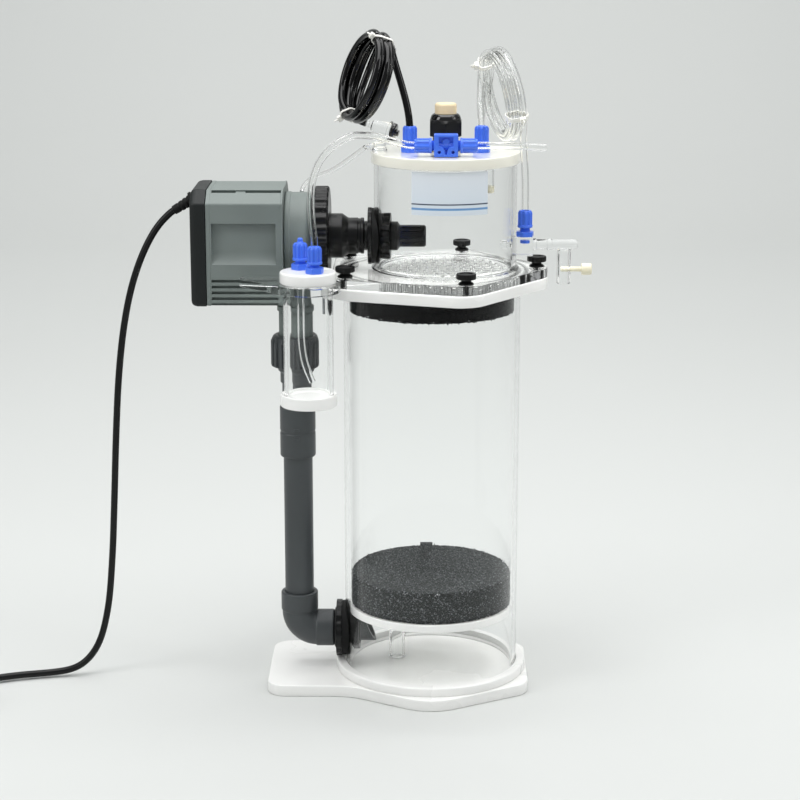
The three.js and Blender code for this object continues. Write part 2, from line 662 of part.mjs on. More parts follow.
function clearHoseDrop() {
  const route = [[75.2, -11, 469], [76.3, -12.2, 458], [77.2, -15.5, 443], [77.3, -17.8, 428],
    [77.3, -18, 418], [77.3, -18, 410]];
  return piece('clear_hose_drop', alongCurve(route, HOSE_R, 18), CLEAR);
}

// The outer shape of a wound coil: a ring about local Z.
function coilRing(name, inner, outer, half, look) {
  const edge = 2.5;
  const profile = [[inner, edge - half], [inner + edge, -half], [outer - edge, -half],
    [outer, edge - half], [outer, half - edge], [outer - edge, half], [inner + edge, half],
    [inner, half - edge]];
  return piece(name, turned(profile, 24), look);
}

// Turns a coil so that local Z points along its axis, and puts it in its place.
function stood(mesh, axis, place) {
  mesh.quaternion.setFromUnitVectors(new THREE.Vector3(0, 0, 1), new THREE.Vector3(...axis).normalize());
  mesh.position.set(...place);
  return mesh;
}

function checkValve() {
  const profile = [[0, -4], [3, -4], [3, 0], [6.3, 0.6], [6.3, 20], [7.2, 20.5], [7.2, 25], [0, 25]];
  return stood(piece('check_valve', turned(profile, 16), BLACK), [0.953, -0.24, -0.27], [-51.5, 9.5, 483.6]);
}

const LEAD_R = 3;
const LEAD_COIL = { x: -440, y: -20, outer: 42, inner: 24 };

function mainsLead() {
  const floor = LEAD_R + GAP;
  const route = [[-217.6, 0, 412.4], [-225.5, 0, 406.5], [-234, 0, 395.5], [-244, 0, 377],
    [-254, 0, 350], [-262, 0, 315], [-268, 0, 270], [-272, -1, 215], [-275, -2, 160],
    [-278.5, -3, 105], [-284, -4, 58], [-294, -6, 25], [-310, -9, 8], [-332, -13, floor],
    [-356, -18, floor], [-380, -22, floor], [-397, -24, floor]];
  return piece('mains_lead', alongCurve(route, LEAD_R, 46), BLACK);
}

function mainsCoil() {
  const { x, y, outer, inner } = LEAD_COIL;
  const mesh = coilRing('mains_coil', inner, outer, 6.2, BLACK);
  mesh.position.set(x, y, 6.2 + GAP);
  return mesh;
}

function mainsPlug() {
  const bodyR = 17.5;
  const body = turnedX([[0, -462], [4, -462], [6.5, -450], [12, -446], [bodyR, -440], [bodyR, -414],
    [bodyR - 1, -413], [0, -413]], 20);
  const pins = [-9.5, 9.5].map((y) => rodX(2.4, -414, -394, 10).translate([0, y, 0]));
  const mesh = piece('mains_plug', join(body, ...pins), BLACK);
  mesh.position.set(8, -94, bodyR + GAP);
  return mesh;
}

// Assembly.
function group(...meshes) {
  const holder = new THREE.Group();
  holder.add(...meshes);
  return holder;
}

const reactor = group(
  basePlate(),
  reactorTube(),
  bodyFlange(),
  flangeSeal(),
  mediaPlate(),
  sponge('lower_sponge', LOWER_SPONGE.r, MEDIA.top + GAP, LOWER_SPONGE.top, FOAM),
  sponge('upper_sponge', UPPER_SPONGE.r, UPPER_SPONGE.bottom, UPPER_SPONGE.top, BLACK_FOAM),
  inletBulkhead(),
  inletNozzle(),
);

const pipework = group(elbow(), dischargePipe(), unionTail(), unionNut());

const pump = group(
  volute(),
  motorHousing(),
  rearCover(),
  rotor(),
  rotorShaft(),
  pumpInletNut(),
  suctionReducer(),
  suctionBulkhead(),
  suctionNut(),
  suctionStrainer(),
  cordRelief(),
);
pump.position.z = PUMP_Z;

const upperChamber = group(
  chamberPlate(),
  chamberTube(),
  chamberLid(),
  ...screwPlaces.map((place, k) => thumbScrew(k + 1, place)),
  glandBody(),
  glandNut(),
  glandPlug(),
  valveBlock(),
  sidewaysNut('valve_nut_left', VALVE.x - VALVE.halfX - 1.8, -1),
  sidewaysNut('valve_nut_right', VALVE.x + VALVE.halfX + 1.8, 1),
  uprightNut('lid_nut_left', ...LID_PORTS.left, LID.top),
  uprightNut('lid_nut_right', ...LID_PORTS.right, LID.top),
  sideManifold(),
  uprightNut('side_nut', SIDE.x, SIDE.y, SIDE.blockTop),
  nylonScrew(),
);

const bubbleCounter = group(
  counterLid(),
  counterBody(),
  counterBracket(),
  uprightNut('counter_nut_front', ...counterPort('front'), COUNTER.lidTop),
  uprightNut('counter_nut_rear', ...counterPort('rear'), COUNTER.lidTop),
);

const hoses = group(
  counterHose(),
  pumpHose(),
  stubHose(),
  blackHose(),
  stood(coilRing('black_hose_coil', 27, 41, 8.5, BLACK), [0.897, 0.3, -0.326], [-54.3, 12, 523]),
  checkValve(),
  clearHose(),
  stood(coilRing('clear_hose_coil', 29.5, 41, 6.8, CLEAR), [0.939, 0.28, 0.202], [57.7, 4, 509.5]),
  clearHoseDrop(),
  mainsLead(),
  mainsCoil(),
  mainsPlug(),
);

export default group(reactor, pipework, pump, upperChamber, bubbleCounter, hoses);
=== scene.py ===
"""A recirculating calcium reactor on a pale studio floor, with its pieces in finished materials.

Shapes are written in millimetres in the CAD frame and stored in metres.
"""
import math
import random

import bmesh
import bpy
from mathutils import Matrix, Vector, noise
from mathutils.geometry import tessellate_polygon


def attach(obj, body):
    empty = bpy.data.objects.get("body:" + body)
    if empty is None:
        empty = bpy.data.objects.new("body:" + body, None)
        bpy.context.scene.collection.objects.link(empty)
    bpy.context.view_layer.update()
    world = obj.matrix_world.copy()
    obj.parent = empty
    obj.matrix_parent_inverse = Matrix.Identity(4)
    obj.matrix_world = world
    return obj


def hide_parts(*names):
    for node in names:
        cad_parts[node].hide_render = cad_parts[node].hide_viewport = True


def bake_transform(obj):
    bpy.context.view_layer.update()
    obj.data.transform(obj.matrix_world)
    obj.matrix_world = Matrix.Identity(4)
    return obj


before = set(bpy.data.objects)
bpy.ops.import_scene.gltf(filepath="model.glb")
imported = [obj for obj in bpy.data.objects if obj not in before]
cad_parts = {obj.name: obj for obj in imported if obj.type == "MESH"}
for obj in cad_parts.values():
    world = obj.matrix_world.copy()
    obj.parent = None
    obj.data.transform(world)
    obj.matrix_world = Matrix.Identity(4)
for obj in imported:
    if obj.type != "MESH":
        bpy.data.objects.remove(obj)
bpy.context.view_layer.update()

scene = bpy.context.scene
MM = 0.001
TURN = 2 * math.pi
UPPER = "upper_chamber"
BASE = "reactor"

# Places in the CAD frame, in millimetres, and the way along x.
CHAMBER_X = 11
CHAMBER = (CHAMBER_X, 0, 0)
PUMP_Z = 391.5
INLET = (0, 0, 43)
PIPE_X = -115
PIPE = (PIPE_X, 0, 0)
BOLT = (-86.6, -47, 0)
LID_TOP = 463.3
TO_X = (1, 0, 0)


# ---------------------------------------------------------------- shapes: (points, faces) in mm

def fillet(points, size, steps=3):
    """A closed outline with its corners rounded. Points on the axis (first value 0) stay sharp."""
    made = []
    count = len(points)
    for i, raw in enumerate(points):
        here = Vector(raw)
        back, on = Vector(points[i - 1]) - here, Vector(points[(i + 1) % count]) - here
        reach = min(size, 0.45 * back.length, 0.45 * on.length)
        straight = back.normalized().dot(on.normalized()) < -0.985
        if abs(here[0]) < 1e-6 or straight or reach < 0.02:
            made.append(here)
            continue
        a, b = here + back.normalized() * reach, here + on.normalized() * reach
        for k in range(steps + 1):
            s = k / steps
            made.append(a * (1 - s) ** 2 + here * 2 * s * (1 - s) + b * s * s)
    return made


def band(inner, outer, low, high):
    """The profile of a straight ring, or of a rod where the inner radius is 0."""
    return [(inner, low), (outer, low), (outer, high), (inner, high)]


def between(a, b):
    """The faces between two rings of points, either of which may be a single point."""
    count = max(len(a), len(b))
    made = []
    for k in range(count):
        m = (k + 1) % count
        if len(a) == 1:
            made.append((a[0], b[k], b[m]))
        elif len(b) == 1:
            made.append((a[k], b[0], a[m]))
        else:
            made.append((a[k], b[k], b[m], a[m]))
    return made


def walls(a, b):
    """The faces between two rings that have as many points each."""
    return [(a[k], a[(k + 1) % len(a)], b[(k + 1) % len(a)], b[k]) for k in range(len(a))]


def lathe(profile, seg=72, at=(0, 0, 0), to=(0, 0, 1), soft=0.5, shape=None, steps=3):
    """A profile of (radius, height) turned about a line through at, along to."""
    line = fillet([Vector(p) for p in profile], soft, steps) if soft else [Vector(p) for p in profile]
    turn = Vector((0, 0, 1)).rotation_difference(Vector(to).normalized()).to_matrix()
    points, rings = [], []
    for r, z in line:
        if abs(r) < 1e-6:
            rings.append([len(points)])
            points.append(Vector((0, 0, z)))
            continue
        ring = []
        for k in range(seg):
            angle = TURN * k / seg
            radius = shape(r, z, angle) if shape else r
            ring.append(len(points))
            points.append(Vector((radius * math.cos(angle), radius * math.sin(angle), z)))
        rings.append(ring)
    faces = []
    for i, ring in enumerate(rings):
        following = rings[(i + 1) % len(rings)]
        if len(ring) > 1 or len(following) > 1:
            faces += between(ring, following)
    return [turn @ p + Vector(at) for p in points], faces


def hexed(apothem, phase=0.0):
    """A lathe shape that cuts the turned body to a hexagon."""
    def cut_to(r, z, angle):
        part = (angle - phase) % (TURN / 6) - TURN / 12
        return min(r, apothem / math.cos(part))
    return cut_to


def ribbed(count, depth, low, high, inside=0.0, sharp=2.2):
    """A lathe shape with grip ribs between two heights, outside a radius."""
    def ribs(r, z, angle):
        if not low <= z <= high or r < inside:
            return r
        wave = max(-1.0, min(1.0, sharp * math.cos(count * angle)))
        return r - depth * (0.5 - 0.5 * wave)
    return ribs


def rounded(corners, steps=6):
    """An outline of (x, y, radius) corners with true arcs."""
    made = []
    count = len(corners)
    for i, (x, y, r) in enumerate(corners):
        here = Vector((x, y))
        back = (Vector(corners[i - 1][:2]) - here).normalized()
        on = (Vector(corners[(i + 1) % count][:2]) - here).normalized()
        if r == 0:
            made.append(here)
            continue
        half = math.acos(max(-1, min(1, back.dot(on)))) / 2
        centre = here + (back + on).normalized() * (r / math.sin(half))
        start = here + back * (r / math.tan(half)) - centre
        toward = here - centre
        sign = 1 if start.x * toward.y - start.y * toward.x > 0 else -1
        sweep = sign * (math.pi - 2 * half)
        for k in range(steps + 1):
            angle = sweep * k / steps
            c, s = math.cos(angle), math.sin(angle)
            made.append(centre + Vector((start.x * c - start.y * s, start.x * s + start.y * c)))
    return made


def ring_of(r, at=(0, 0), seg=24, phase=0.0):
    return [Vector((at[0] + r * math.cos(TURN * k / seg + phase), at[1]
        + r * math.sin(TURN * k / seg + phase))) for k in range(seg)]


def hole_rings(r, step, gap, rows):
    """Holes about a gap apart, in rings a step apart round the chamber's axis."""
    return [ring_of(r, (CHAMBER_X + q * math.cos(TURN * k / n), q * math.sin(TURN * k / n)), 12) for q,
        n in [(step * i, round(step * i * TURN / gap)) for i in range(1, rows + 1)] for k in range(n)]


def area(loop):
    return sum(a.x * b.y - b.x * a.y for a, b in zip(loop, loop[1:] + loop[:1])) / 2


def inset(loop, distance):
    """The loop moved to its left, which is inwards on an anticlockwise one."""
    made = []
    for i, p in enumerate(loop):
        a, b = (p - loop[i - 1]).normalized(), (loop[(i + 1) % len(loop)] - p).normalized()
        left_a, left_b = Vector((-a.y, a.x)), Vector((-b.y, b.x))
        made.append(p + (left_a + left_b) * (distance / max(0.3, 1 + left_a.dot(left_b))))
    return made


def plate(outline, low, high, bevel=0.6, holes=(), steps=3, place=None):
    """A flat plate with holes and rounded edges. place turns local (x, y, z) into the frame."""
    loops = [list(outline) if area(list(outline)) > 0 else list(outline)[::-1]]
    loops += [list(h) if area(list(h)) < 0 else list(h)[::-1] for h in holes]
    levels = []
    if bevel:
        for k in range(steps + 1):
            a = math.pi / 2 * k / steps
            levels.append((bevel * (1 - math.sin(a)), low + bevel * (1 - math.cos(a))))
        levels += [(d, high + low - z) for d, z in reversed(levels)]
    else:
        levels = [(0, low), (0, high)]
    points, faces, ends = [], [], ([], [])
    for loop in loops:
        rings = []
        for d, z in levels:
            moved = inset(loop, d) if d else loop
            rings.append(range(len(points), len(points) + len(loop)))
            points += [Vector((p.x, p.y, z)) for p in moved]
        for lower, upper in zip(rings, rings[1:]):
            faces += walls(lower, upper)
        ends[0].append(list(rings[0]))
        ends[1].append(list(rings[-1]))
    for end in ends:
        flat = [i for ring in end for i in ring]
        for tri in tessellate_polygon([[points[i] for i in ring] for ring in end]):
            faces.append(tuple(flat[i] for i in tri))
    if place:
        points = [place @ p for p in points]
    return points, faces


ALONG_X = Matrix(((0, 0, 1, 0), (1, 0, 0, 0), (0, 1, 0, 0), (0, 0, 0, 1)))  # (y, z) outline, pushed along x
ALONG_Y = Matrix(((1, 0, 0, 0), (0, 0, 1, 0), (0, 1, 0, 0), (0, 0, 0, 1)))  # (x, z) outline, pushed along y


def rect(x0, x1, y0, y1, r=0.0, steps=4):
    return rounded([(x0, y0, r), (x1, y0, r), (x1, y1, r), (x0, y1, r)], steps)


def block(x0, x1, y0, y1, z0, z1, r=0.5, bevel=0.4):
    return plate(rect(x0, x1, y0, y1, r), z0, z1, bevel)


def curve_through(points, step=2.0):
    """A smooth line through the points, centripetal as in the CAD model, resampled evenly."""
    pts = [Vector(p) for p in points]
    pts = [pts[0] * 2 - pts[1]] + pts + [pts[-1] * 2 - pts[-2]]
    made = []
    for p0, p1, p2, p3 in zip(pts, pts[1:], pts[2:], pts[3:]):
        t0 = 0.0
        t1 = t0 + math.sqrt(max((p1 - p0).length, 1e-6))
        t2 = t1 + math.sqrt(max((p2 - p1).length, 1e-6))
        t3 = t2 + math.sqrt(max((p3 - p2).length, 1e-6))
        parts = max(2, round((p2 - p1).length / step))
        for k in range(parts):
            t = t1 + (t2 - t1) * k / parts
            a1 = p0 * ((t1 - t) / (t1 - t0)) + p1 * ((t - t0) / (t1 - t0))
            a2 = p1 * ((t2 - t) / (t2 - t1)) + p2 * ((t - t1) / (t2 - t1))
            a3 = p2 * ((t3 - t) / (t3 - t2)) + p3 * ((t - t2) / (t3 - t2))
            b1 = a1 * ((t2 - t) / (t2 - t0)) + a2 * ((t - t0) / (t2 - t0))
            b2 = a2 * ((t3 - t) / (t3 - t1)) + a3 * ((t - t1) / (t3 - t1))
            made.append(b1 * ((t2 - t) / (t2 - t1)) + b2 * ((t - t1) / (t2 - t1)))
    made.append(pts[-2])
    return made


def tube(path, r, sides=16, inner=None):
    """A round tube along a path, hollow if inner is given."""
    points, faces = [], []
    tangents = []
    for i in range(len(path)):
        a, b = path[max(0, i - 1)], path[min(len(path) - 1, i + 1)]
        tangents.append((b - a).normalized())
    side = tangents[0].orthogonal().normalized()
    radii = [r] if inner is None else [r, inner]
    layers = [[] for _ in radii]
    for i, p in enumerate(path):
        side = (side - tangents[i] * side.dot(tangents[i])).normalized()
        up = tangents[i].cross(side)
        for layer, radius in zip(layers, radii):
            layer.append(range(len(points), len(points) + sides))
            for k in range(sides):
                angle = TURN * k / sides
                points.append(p + (side * math.cos(angle) + up * math.sin(angle)) * radius)
    for which, layer in enumerate(layers):
        for a, b in zip(layer, layer[1:]):
            faces += [quad if which == 0 else quad[::-1] for quad in walls(a, b)]
    if inner is None:
        faces.append(tuple(reversed(layers[0][0])))
        faces.append(tuple(layers[0][-1]))
    else:
        for end, turn in ((0, -1), (-1, 1)):
            out, ins = layers[0][end], layers[1][end]
            for k in range(sides):
                m = (k + 1) % sides
                faces.append((out[k], out[m], ins[m], ins[k])[::turn])
    return points, faces


def mesh_of(name, shapes, smooth=38):
    data = bpy.data.meshes.new(name)
    points, faces = [], []
    for pts, fcs in shapes:
        base = len(points)
        points += [tuple(p * MM) for p in pts]
        faces += [tuple(i + base for i in f) for f in fcs]
    data.from_pydata(points, [], faces)
    work = bmesh.new()
    work.from_mesh(data)
    bmesh.ops.remove_doubles(work, verts=work.verts, dist=1e-7)
    bmesh.ops.dissolve_degenerate(work, edges=work.edges, dist=1e-7)
    bmesh.ops.recalc_face_normals(work, faces=work.faces)
    work.to_mesh(data)
    work.free()
    data.shade_smooth()
    if smooth < 180:
        data.set_sharp_from_angle(angle=math.radians(smooth))
    return data


def carve(thing, shapes, operation="DIFFERENCE", smooth=38):
    """Cuts the shapes out of the piece, or joins them to it."""
    for shape in shapes:
        tool = bpy.data.objects.new("tool", mesh_of("tool", [shape]))
        scene.collection.objects.link(tool)
        step = thing.modifiers.new("cut", "BOOLEAN")
        step.operation, step.solver, step.object = operation, "EXACT", tool
        bpy.context.view_layer.update()
        graph = bpy.context.evaluated_depsgraph_get()
        made = bpy.data.meshes.new_from_object(thing.evaluated_get(graph))
        thing.modifiers.clear()
        thing.data = made
        bpy.data.objects.remove(tool)
    thing.data.shade_smooth()
    thing.data.set_sharp_from_angle(angle=math.radians(smooth))
    return thing


def piece(name, shapes, look, body, node=None, cuts=(), join=(), smooth=38, weighted=True):
    """A finished piece: one mesh of several closed shapes, in a material, riding on a body."""
    made = bpy.data.objects.new(name, mesh_of(name, shapes, smooth))
    scene.collection.objects.link(made)
    if join:
        carve(made, join, "UNION", smooth)
    if cuts:
        carve(made, cuts, "DIFFERENCE", smooth)
    made.data.materials.clear()
    made.data.materials.append(look)
    if weighted:
        even = made.modifiers.new("even_normals", "WEIGHTED_NORMAL")
        even.keep_sharp = True
        even.weight = 70
    if node:
        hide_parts(*([node] if isinstance(node, str) else node))
    if body:
        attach(made, body)
    return made


# ---------------------------------------------------------------- materials

def linear(hex_colour):
    """A colour as the shader takes it, from its usual hex form."""
    made = []
    for i in (0, 2, 4):
        c = int(hex_colour[i:i + 2], 16) / 255
        made.append(c / 12.92 if c <= 0.04045 else ((c + 0.055) / 1.055) ** 2.4)
    return (*made, 1.0)


def nodes_of(name):
    look = bpy.data.materials.new("fine_" + name)
    look.use_nodes = True
    tree = look.node_tree
    return look, tree, tree.nodes["Principled BSDF"]


def settle(node, **sockets):
    """Sets a node's own sockets. An underscore stands for a space in a socket's name."""
    for socket, value in sockets.items():
        node.inputs[socket.replace("_", " ")].default_value = value
    return node


def added(tree, kind, **sockets):
    return settle(tree.nodes.new("ShaderNode" + kind), **sockets)


def over_object(tree, kind, **sockets):
    """A texture node that follows the object's own coordinates."""
    made = added(tree, kind, **sockets)
    places = [n for n in tree.nodes if n.bl_idname == "ShaderNodeTexCoord"] or [added(tree, "TexCoord")]
    tree.links.new(places[0].outputs["Object"], made.inputs["Vector"])
    return made


def colours(tree, out, stops):
    """A colour ramp of (position, colour) stops, fed from an output."""
    made = added(tree, "ValToRGB")
    ramp = made.color_ramp.elements
    ramp[0].position, ramp[0].color = stops[0]
    ramp[1].position, ramp[1].color = stops[-1]
    for position, colour in stops[1:-1]:
        ramp.new(position).color = colour
    tree.links.new(out, made.inputs["Fac"])
    return made.outputs["Color"]


def relief(tree, out, shader, strength, depth, invert=False):
    """A bump in the shader's surface, from an output."""
    made = added(tree, "Bump", Strength=strength, Distance=depth)
    made.invert = invert
    tree.links.new(out, made.inputs["Height"])
    tree.links.new(made.outputs["Normal"], shader.inputs["Normal"])


def dimmed(colour, factor):
    return (*[min(1, c * factor) for c in colour[:3]], 1)


def textured(name, hex_colour, rough, shade=0.12, cells=60.0, grain=900.0, bump=0.15, depth=0.0002,
        spread=0.08, **sockets):
    """A moulded or machined finish: mottled colour, uneven gloss and a fine grain in the surface."""
    look, tree, shader = nodes_of(name)
    colour = linear(hex_colour)
    broad = over_object(tree, "TexNoise", Scale=cells, Detail=4)
    fine = over_object(tree, "TexNoise", Scale=grain, Detail=3)
    tint = colours(tree, broad.outputs["Fac"], [(0.3, dimmed(colour, 1 - shade)),
        (0.7, dimmed(colour, 1 + shade))])
    gloss = added(tree, "MapRange", To_Min=max(0.02, rough - spread), To_Max=min(1, rough + spread))
    tree.links.new(tint, shader.inputs["Base Color"])
    tree.links.new(broad.outputs["Fac"], gloss.inputs["Value"])
    tree.links.new(gloss.outputs["Result"], shader.inputs["Roughness"])
    relief(tree, fine.outputs["Fac"], shader, bump, depth)
    settle(shader, Subsurface_Radius=(1, 1, 1), **sockets)
    return look


def clear(name, colour, ior, rough=0.0, wave=0.0, cells=14.0):
    """A clear plastic, with the faint unevenness of drawn tube. Light for shadows passes through it."""
    look, tree, shader = nodes_of(name)
    settle(shader, Base_Color=colour, Roughness=rough, IOR=ior, Specular_Tint=(0.4, 0.4, 0.4, 1),
        Transmission_Weight=1.0)
    if wave:
        soft = over_object(tree, "TexNoise", Scale=cells, Detail=1)
        relief(tree, soft.outputs["Fac"], shader, wave, 0.001)
    ray, passing, either = added(tree, "LightPath"), added(tree, "BsdfTransparent",
        Color=colour), added(tree, "MixShader")
    tree.links.new(ray.outputs["Is Shadow Ray"], either.inputs[0])
    tree.links.new(shader.outputs["BSDF"], either.inputs[1])
    tree.links.new(passing.outputs["BSDF"], either.inputs[2])
    tree.links.new(either.outputs["Shader"], tree.nodes["Material Output"].inputs["Surface"])
    return look


def foam(name, dark, glint_colour, share, pore=1250):
    """Open-cell foam: a dark net of threads round pores, with painted shade in the pores and painted
    highlights on some threads, as glints of light.
    """
    look, tree, shader = nodes_of(name)
    dark = linear(dark)
    cells = over_object(tree, "TexVoronoi", Scale=pore)
    edges = over_object(tree, "TexVoronoi", Scale=pore)
    edges.feature = "DISTANCE_TO_EDGE"
    # Threads lighter, pore centres darker: painted shade deepening into the pores.
    pore_shade = colours(tree, edges.outputs["Distance"], [(0.05, dimmed(dark, 1.5)), (0.3, dimmed(dark, 0.35))])
    split, lit = added(tree, "SeparateColor"), added(tree, "Mix")
    tree.links.new(cells.outputs["Color"], split.inputs["Color"])
    # A share of the cells take the pale colour: painted highlights, glints on the threads.
    glint_mask = colours(tree, split.outputs["Red"], [(1 - share, (0, 0, 0, 1)), (min(1, 1.04 - share),
        (1, 1, 1, 1))])
    lit.data_type = "RGBA"
    lit.inputs[7].default_value = linear(glint_colour)
    tree.links.new(glint_mask, lit.inputs[0])
    tree.links.new(pore_shade, lit.inputs[6])
    tree.links.new(lit.outputs[2], shader.inputs["Base Color"])
    relief(tree, edges.outputs["Distance"], shader, 1.0, 0.0007, True)
    settle(shader, Roughness=0.95, Specular_IOR_Level=0.15)
    return look


WHITE = textured("white_acrylic", "f8f8f5", 0.26, shade=0.004, cells=9, grain=260, bump=0.03,
    Coat_Weight=0.2, Subsurface_Weight=0.3, Subsurface_Scale=0.008)
LID_WHITE = textured("lid_acrylic", "f4f2e6", 0.14, shade=0.008, cells=12, grain=260, bump=0.02,
    spread=0.03, Coat_Weight=0.5, Subsurface_Weight=0.25, Subsurface_Scale=0.006)
CLEAR = clear("clear_acrylic", (0.994, 0.998, 0.997, 1), 1.31, wave=0.012)
CLEAR_PLATE = clear("clear_plate", (0.992, 0.996, 0.994, 1), 1.3, wave=0.02, cells=20)
CLEAR_HOSE = clear("clear_hose", (0.992, 0.994, 0.99, 1), 1.3, rough=0.05)
PVC = textured("pvc_grey", "404446", 0.42, shade=0.06, cells=40, grain=700, bump=0.12)
MOTOR = textured("motor_grey", "747d7a", 0.5, shade=0.05, cells=35, grain=1400, bump=0.25)
COVER = textured("charcoal", "171b1b", 0.5, shade=0.08, cells=35, grain=1400, bump=0.25,
    Specular_IOR_Level=0.3)
BLACK = textured("black_plastic", "0a0b0c", 0.3, shade=0.12, cells=50, grain=900, bump=0.12,
    Specular_IOR_Level=0.3)
SATIN_BLACK = textured("screw_black", "080808", 0.42, shade=0.12, cells=80, grain=900, bump=0.2,
    Specular_IOR_Level=0.25)
GLOSS_BLACK = textured("gloss_black", "030304", 0.09, shade=0.1, cells=40, grain=200, bump=0.02,
    spread=0.03, Coat_Weight=0.5)
BLUE = textured("blue_plastic", "4776ee", 0.3, shade=0.05, cells=90, grain=800, bump=0.08,
    Subsurface_Weight=0.12, Subsurface_Scale=0.002)
CREAM = textured("cream_plastic", "f3deb6", 0.42, shade=0.04, cells=60, grain=900, bump=0.1,
    Subsurface_Weight=0.1, Subsurface_Scale=0.003)
NYLON = textured("nylon", "f1ebd2", 0.38, shade=0.03, cells=60, grain=900, bump=0.06, Subsurface_Weight=0.3,
    Subsurface_Scale=0.004)
TIE = textured("tie_white", "f2f1ea", 0.35, shade=0.03, cells=90, grain=900, bump=0.06,
    Subsurface_Weight=0.2, Subsurface_Scale=0.002)
RUBBER = textured("rubber", "090a0a", 0.6, shade=0.15, cells=60, grain=1100, bump=0.2,
    Specular_IOR_Level=0.25)
HOSE_BLACK = textured("black_hose", "020203", 0.1, shade=0.12, cells=30, grain=260, bump=0.02, spread=0.03,
    Specular_IOR_Level=0.4)
LEAD = textured("lead_black", "060707", 0.36, shade=0.1, cells=60, grain=900, bump=0.12,
    Specular_IOR_Level=0.3)
FOAM = foam("foam_dark", "3a3c3c", "777b7c", 0.13)
BLACK_FOAM = foam("foam_black", "050506", "3a3c3d", 0.05)
# Pale rim specks: painted glints, light seen through the torn foam edge.
GLINT = textured("foam_glint", "aeb1b2", 0.5, shade=0.25, cells=700, grain=1800, bump=0.3)
CERAMIC = textured("ceramic", "efeeea", 0.18, shade=0.02, cells=60, grain=900, bump=0.03)
MAGNET = textured("magnet", "3b3e40", 0.45, shade=0.1, cells=80, grain=900, bump=0.2)
STEEL = textured("steel", "8c8f91", 0.32, shade=0.1, cells=90, grain=1200, bump=0.1, Metallic=1.0)
BRASS = textured("pin_metal", "c9c6bd", 0.25, shade=0.06, cells=90, grain=900, bump=0.05, Metallic=1.0)

# The record's material slot for each finish that has one.
SLOTS = {name: name for name in ("white_acrylic", "clear_acrylic", "clear_hose", "pvc_grey", "motor_grey",
    "charcoal", "black_plastic", "blue_plastic", "cream_plastic", "nylon", "rubber", "black_hose",
    "foam_dark", "foam_black", "ceramic", "magnet")}
SLOTS |= {"lid_acrylic": "white_acrylic", "clear_plate": "clear_acrylic", "screw_black": "black_plastic",
    "gloss_black": "black_plastic", "lead_black": "black_hose"}


# ---------------------------------------------------------------- camera

eye = bpy.data.objects.new("camera", bpy.data.cameras.new("camera"))
scene.collection.objects.link(eye)
eye.location = (-0.00638, -1.79109, 0.68496)
eye.rotation_euler = (math.radians(76.32), 0, math.radians(0.66))
eye.data.sensor_width = 36
eye.data.lens = 96.67
eye.data.clip_start, eye.data.clip_end = 0.05, 30
scene.camera = eye


# ---------------------------------------------------------------- hoses and leads

def wound(centre, u, w, axis, start, direction, turns, slots, blend=50, loose=(0, 0)):
    """A coil's line. Each turn runs in its slot of (radius, axial place, spare), moving on near its end.

    Between the two loose angles a turn also stands off by its spare, along the axis.
    """
    made = []
    total = turns * 360
    steps = int(total / 7)
    for k in range(steps + 1):
        angle = total * k / steps
        index, part = int(angle // 360), angle % 360
        here = slots[min(index, len(slots) - 1)]
        following = slots[min(index + 1, len(slots) - 1)]
        s = max(0.0, (part - (360 - blend)) / blend)
        s = s * s * (3 - 2 * s)
        r, offset, spare = [a + (b - a) * s for a, b in zip(here, following)]
        place = start + direction * angle
        if loose[1]:
            away = ((place - loose[0]) % 360) / (loose[1] - loose[0])
            if away < 1:
                offset += spare * math.sin(math.pi * away) ** 2
                r += 0.5 * abs(spare) * math.sin(math.pi * away) ** 2 * (-1 if spare > 0 else 0)
        theta = math.radians(place)
        made.append(centre + w * (r * math.cos(theta)) + u * (r * math.sin(theta)) + axis * offset)
    return made


def coil_axes(axis, up):
    """A coil's axis and the two ways across it: up, and towards the front."""
    axis, up = Vector(axis).normalized(), Vector(up)
    up = (up - axis * up.dot(axis)).normalized()
    front = up.cross(axis)
    return axis, up, -front if front.y > 0 else front


def bridge(a, a_dir, b, b_dir, pull=1.0, parts=10):
    """A smooth line from a, leaving along a_dir, to b, arriving along b_dir, without its ends."""
    reach = (b - a).length * pull
    made = []
    for k in range(1, parts):
        s = k / parts
        h00, h10 = 2 * s ** 3 - 3 * s ** 2 + 1, s ** 3 - 2 * s ** 2 + s
        h01, h11 = -2 * s ** 3 + 3 * s ** 2, s ** 3 - s ** 2
        made.append(a * h00 + a_dir.normalized() * (reach * h10) + b * h01
            + b_dir.normalized() * (reach * h11))
    return made


def link(a, b, parts=8):
    """A smooth line from the end of one line to the start of the next."""
    return bridge(a[-1], a[-1] - a[-2], b[0], b[1] - b[0], 1.0, parts)


def eased(path, passes=14, step=3.0):
    """The line in even steps with its tight places relaxed. Its two ends stay where they are."""
    path = [Vector(p) for p in path]
    even, left = [path[0]], step
    for a, b in zip(path, path[1:]):
        gap = (b - a).length
        while gap > left:
            a = a + (b - a) * (left / gap)
            gap -= left
            even.append(a)
            left = step
        left -= gap
    if (even[-1] - path[-1]).length < 0.5 * step:
        even.pop()
    even.append(path[-1])
    for _ in range(passes):
        even = (even[:2] + [(a + b * 2 + c) / 4 for a, b, c in zip(even[1:], even[2:-1], even[3:])]
            + even[-2:])
    return even


def hose(name, path, r, look, body, nodes, sides=16, inner=None,
        blended=None):
    path = [Vector(p) for p in path]
    made = bpy.data.objects.new(name, mesh_of(name, [tube(path, r, sides, inner)], 60))
    scene.collection.objects.link(made)
    made.data.materials.append(look)
    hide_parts(*nodes)
    if blended:
        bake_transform(made)
    else:
        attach(made, body)
    return made


def hull_of(points):
    """The convex outline round some (x, y) points, anticlockwise."""
    order = sorted(points, key=lambda p: (round(p.x, 4), round(p.y, 4)))
    sides = []
    for run in (order, order[::-1]):
        made = []
        for p in run:
            while len(made) > 1 and (made[-1] - made[-2]).cross(p - made[-1]) <= 1e-4:
                made.pop()
            made.append(p)
        sides += made[:-1]
    return sides


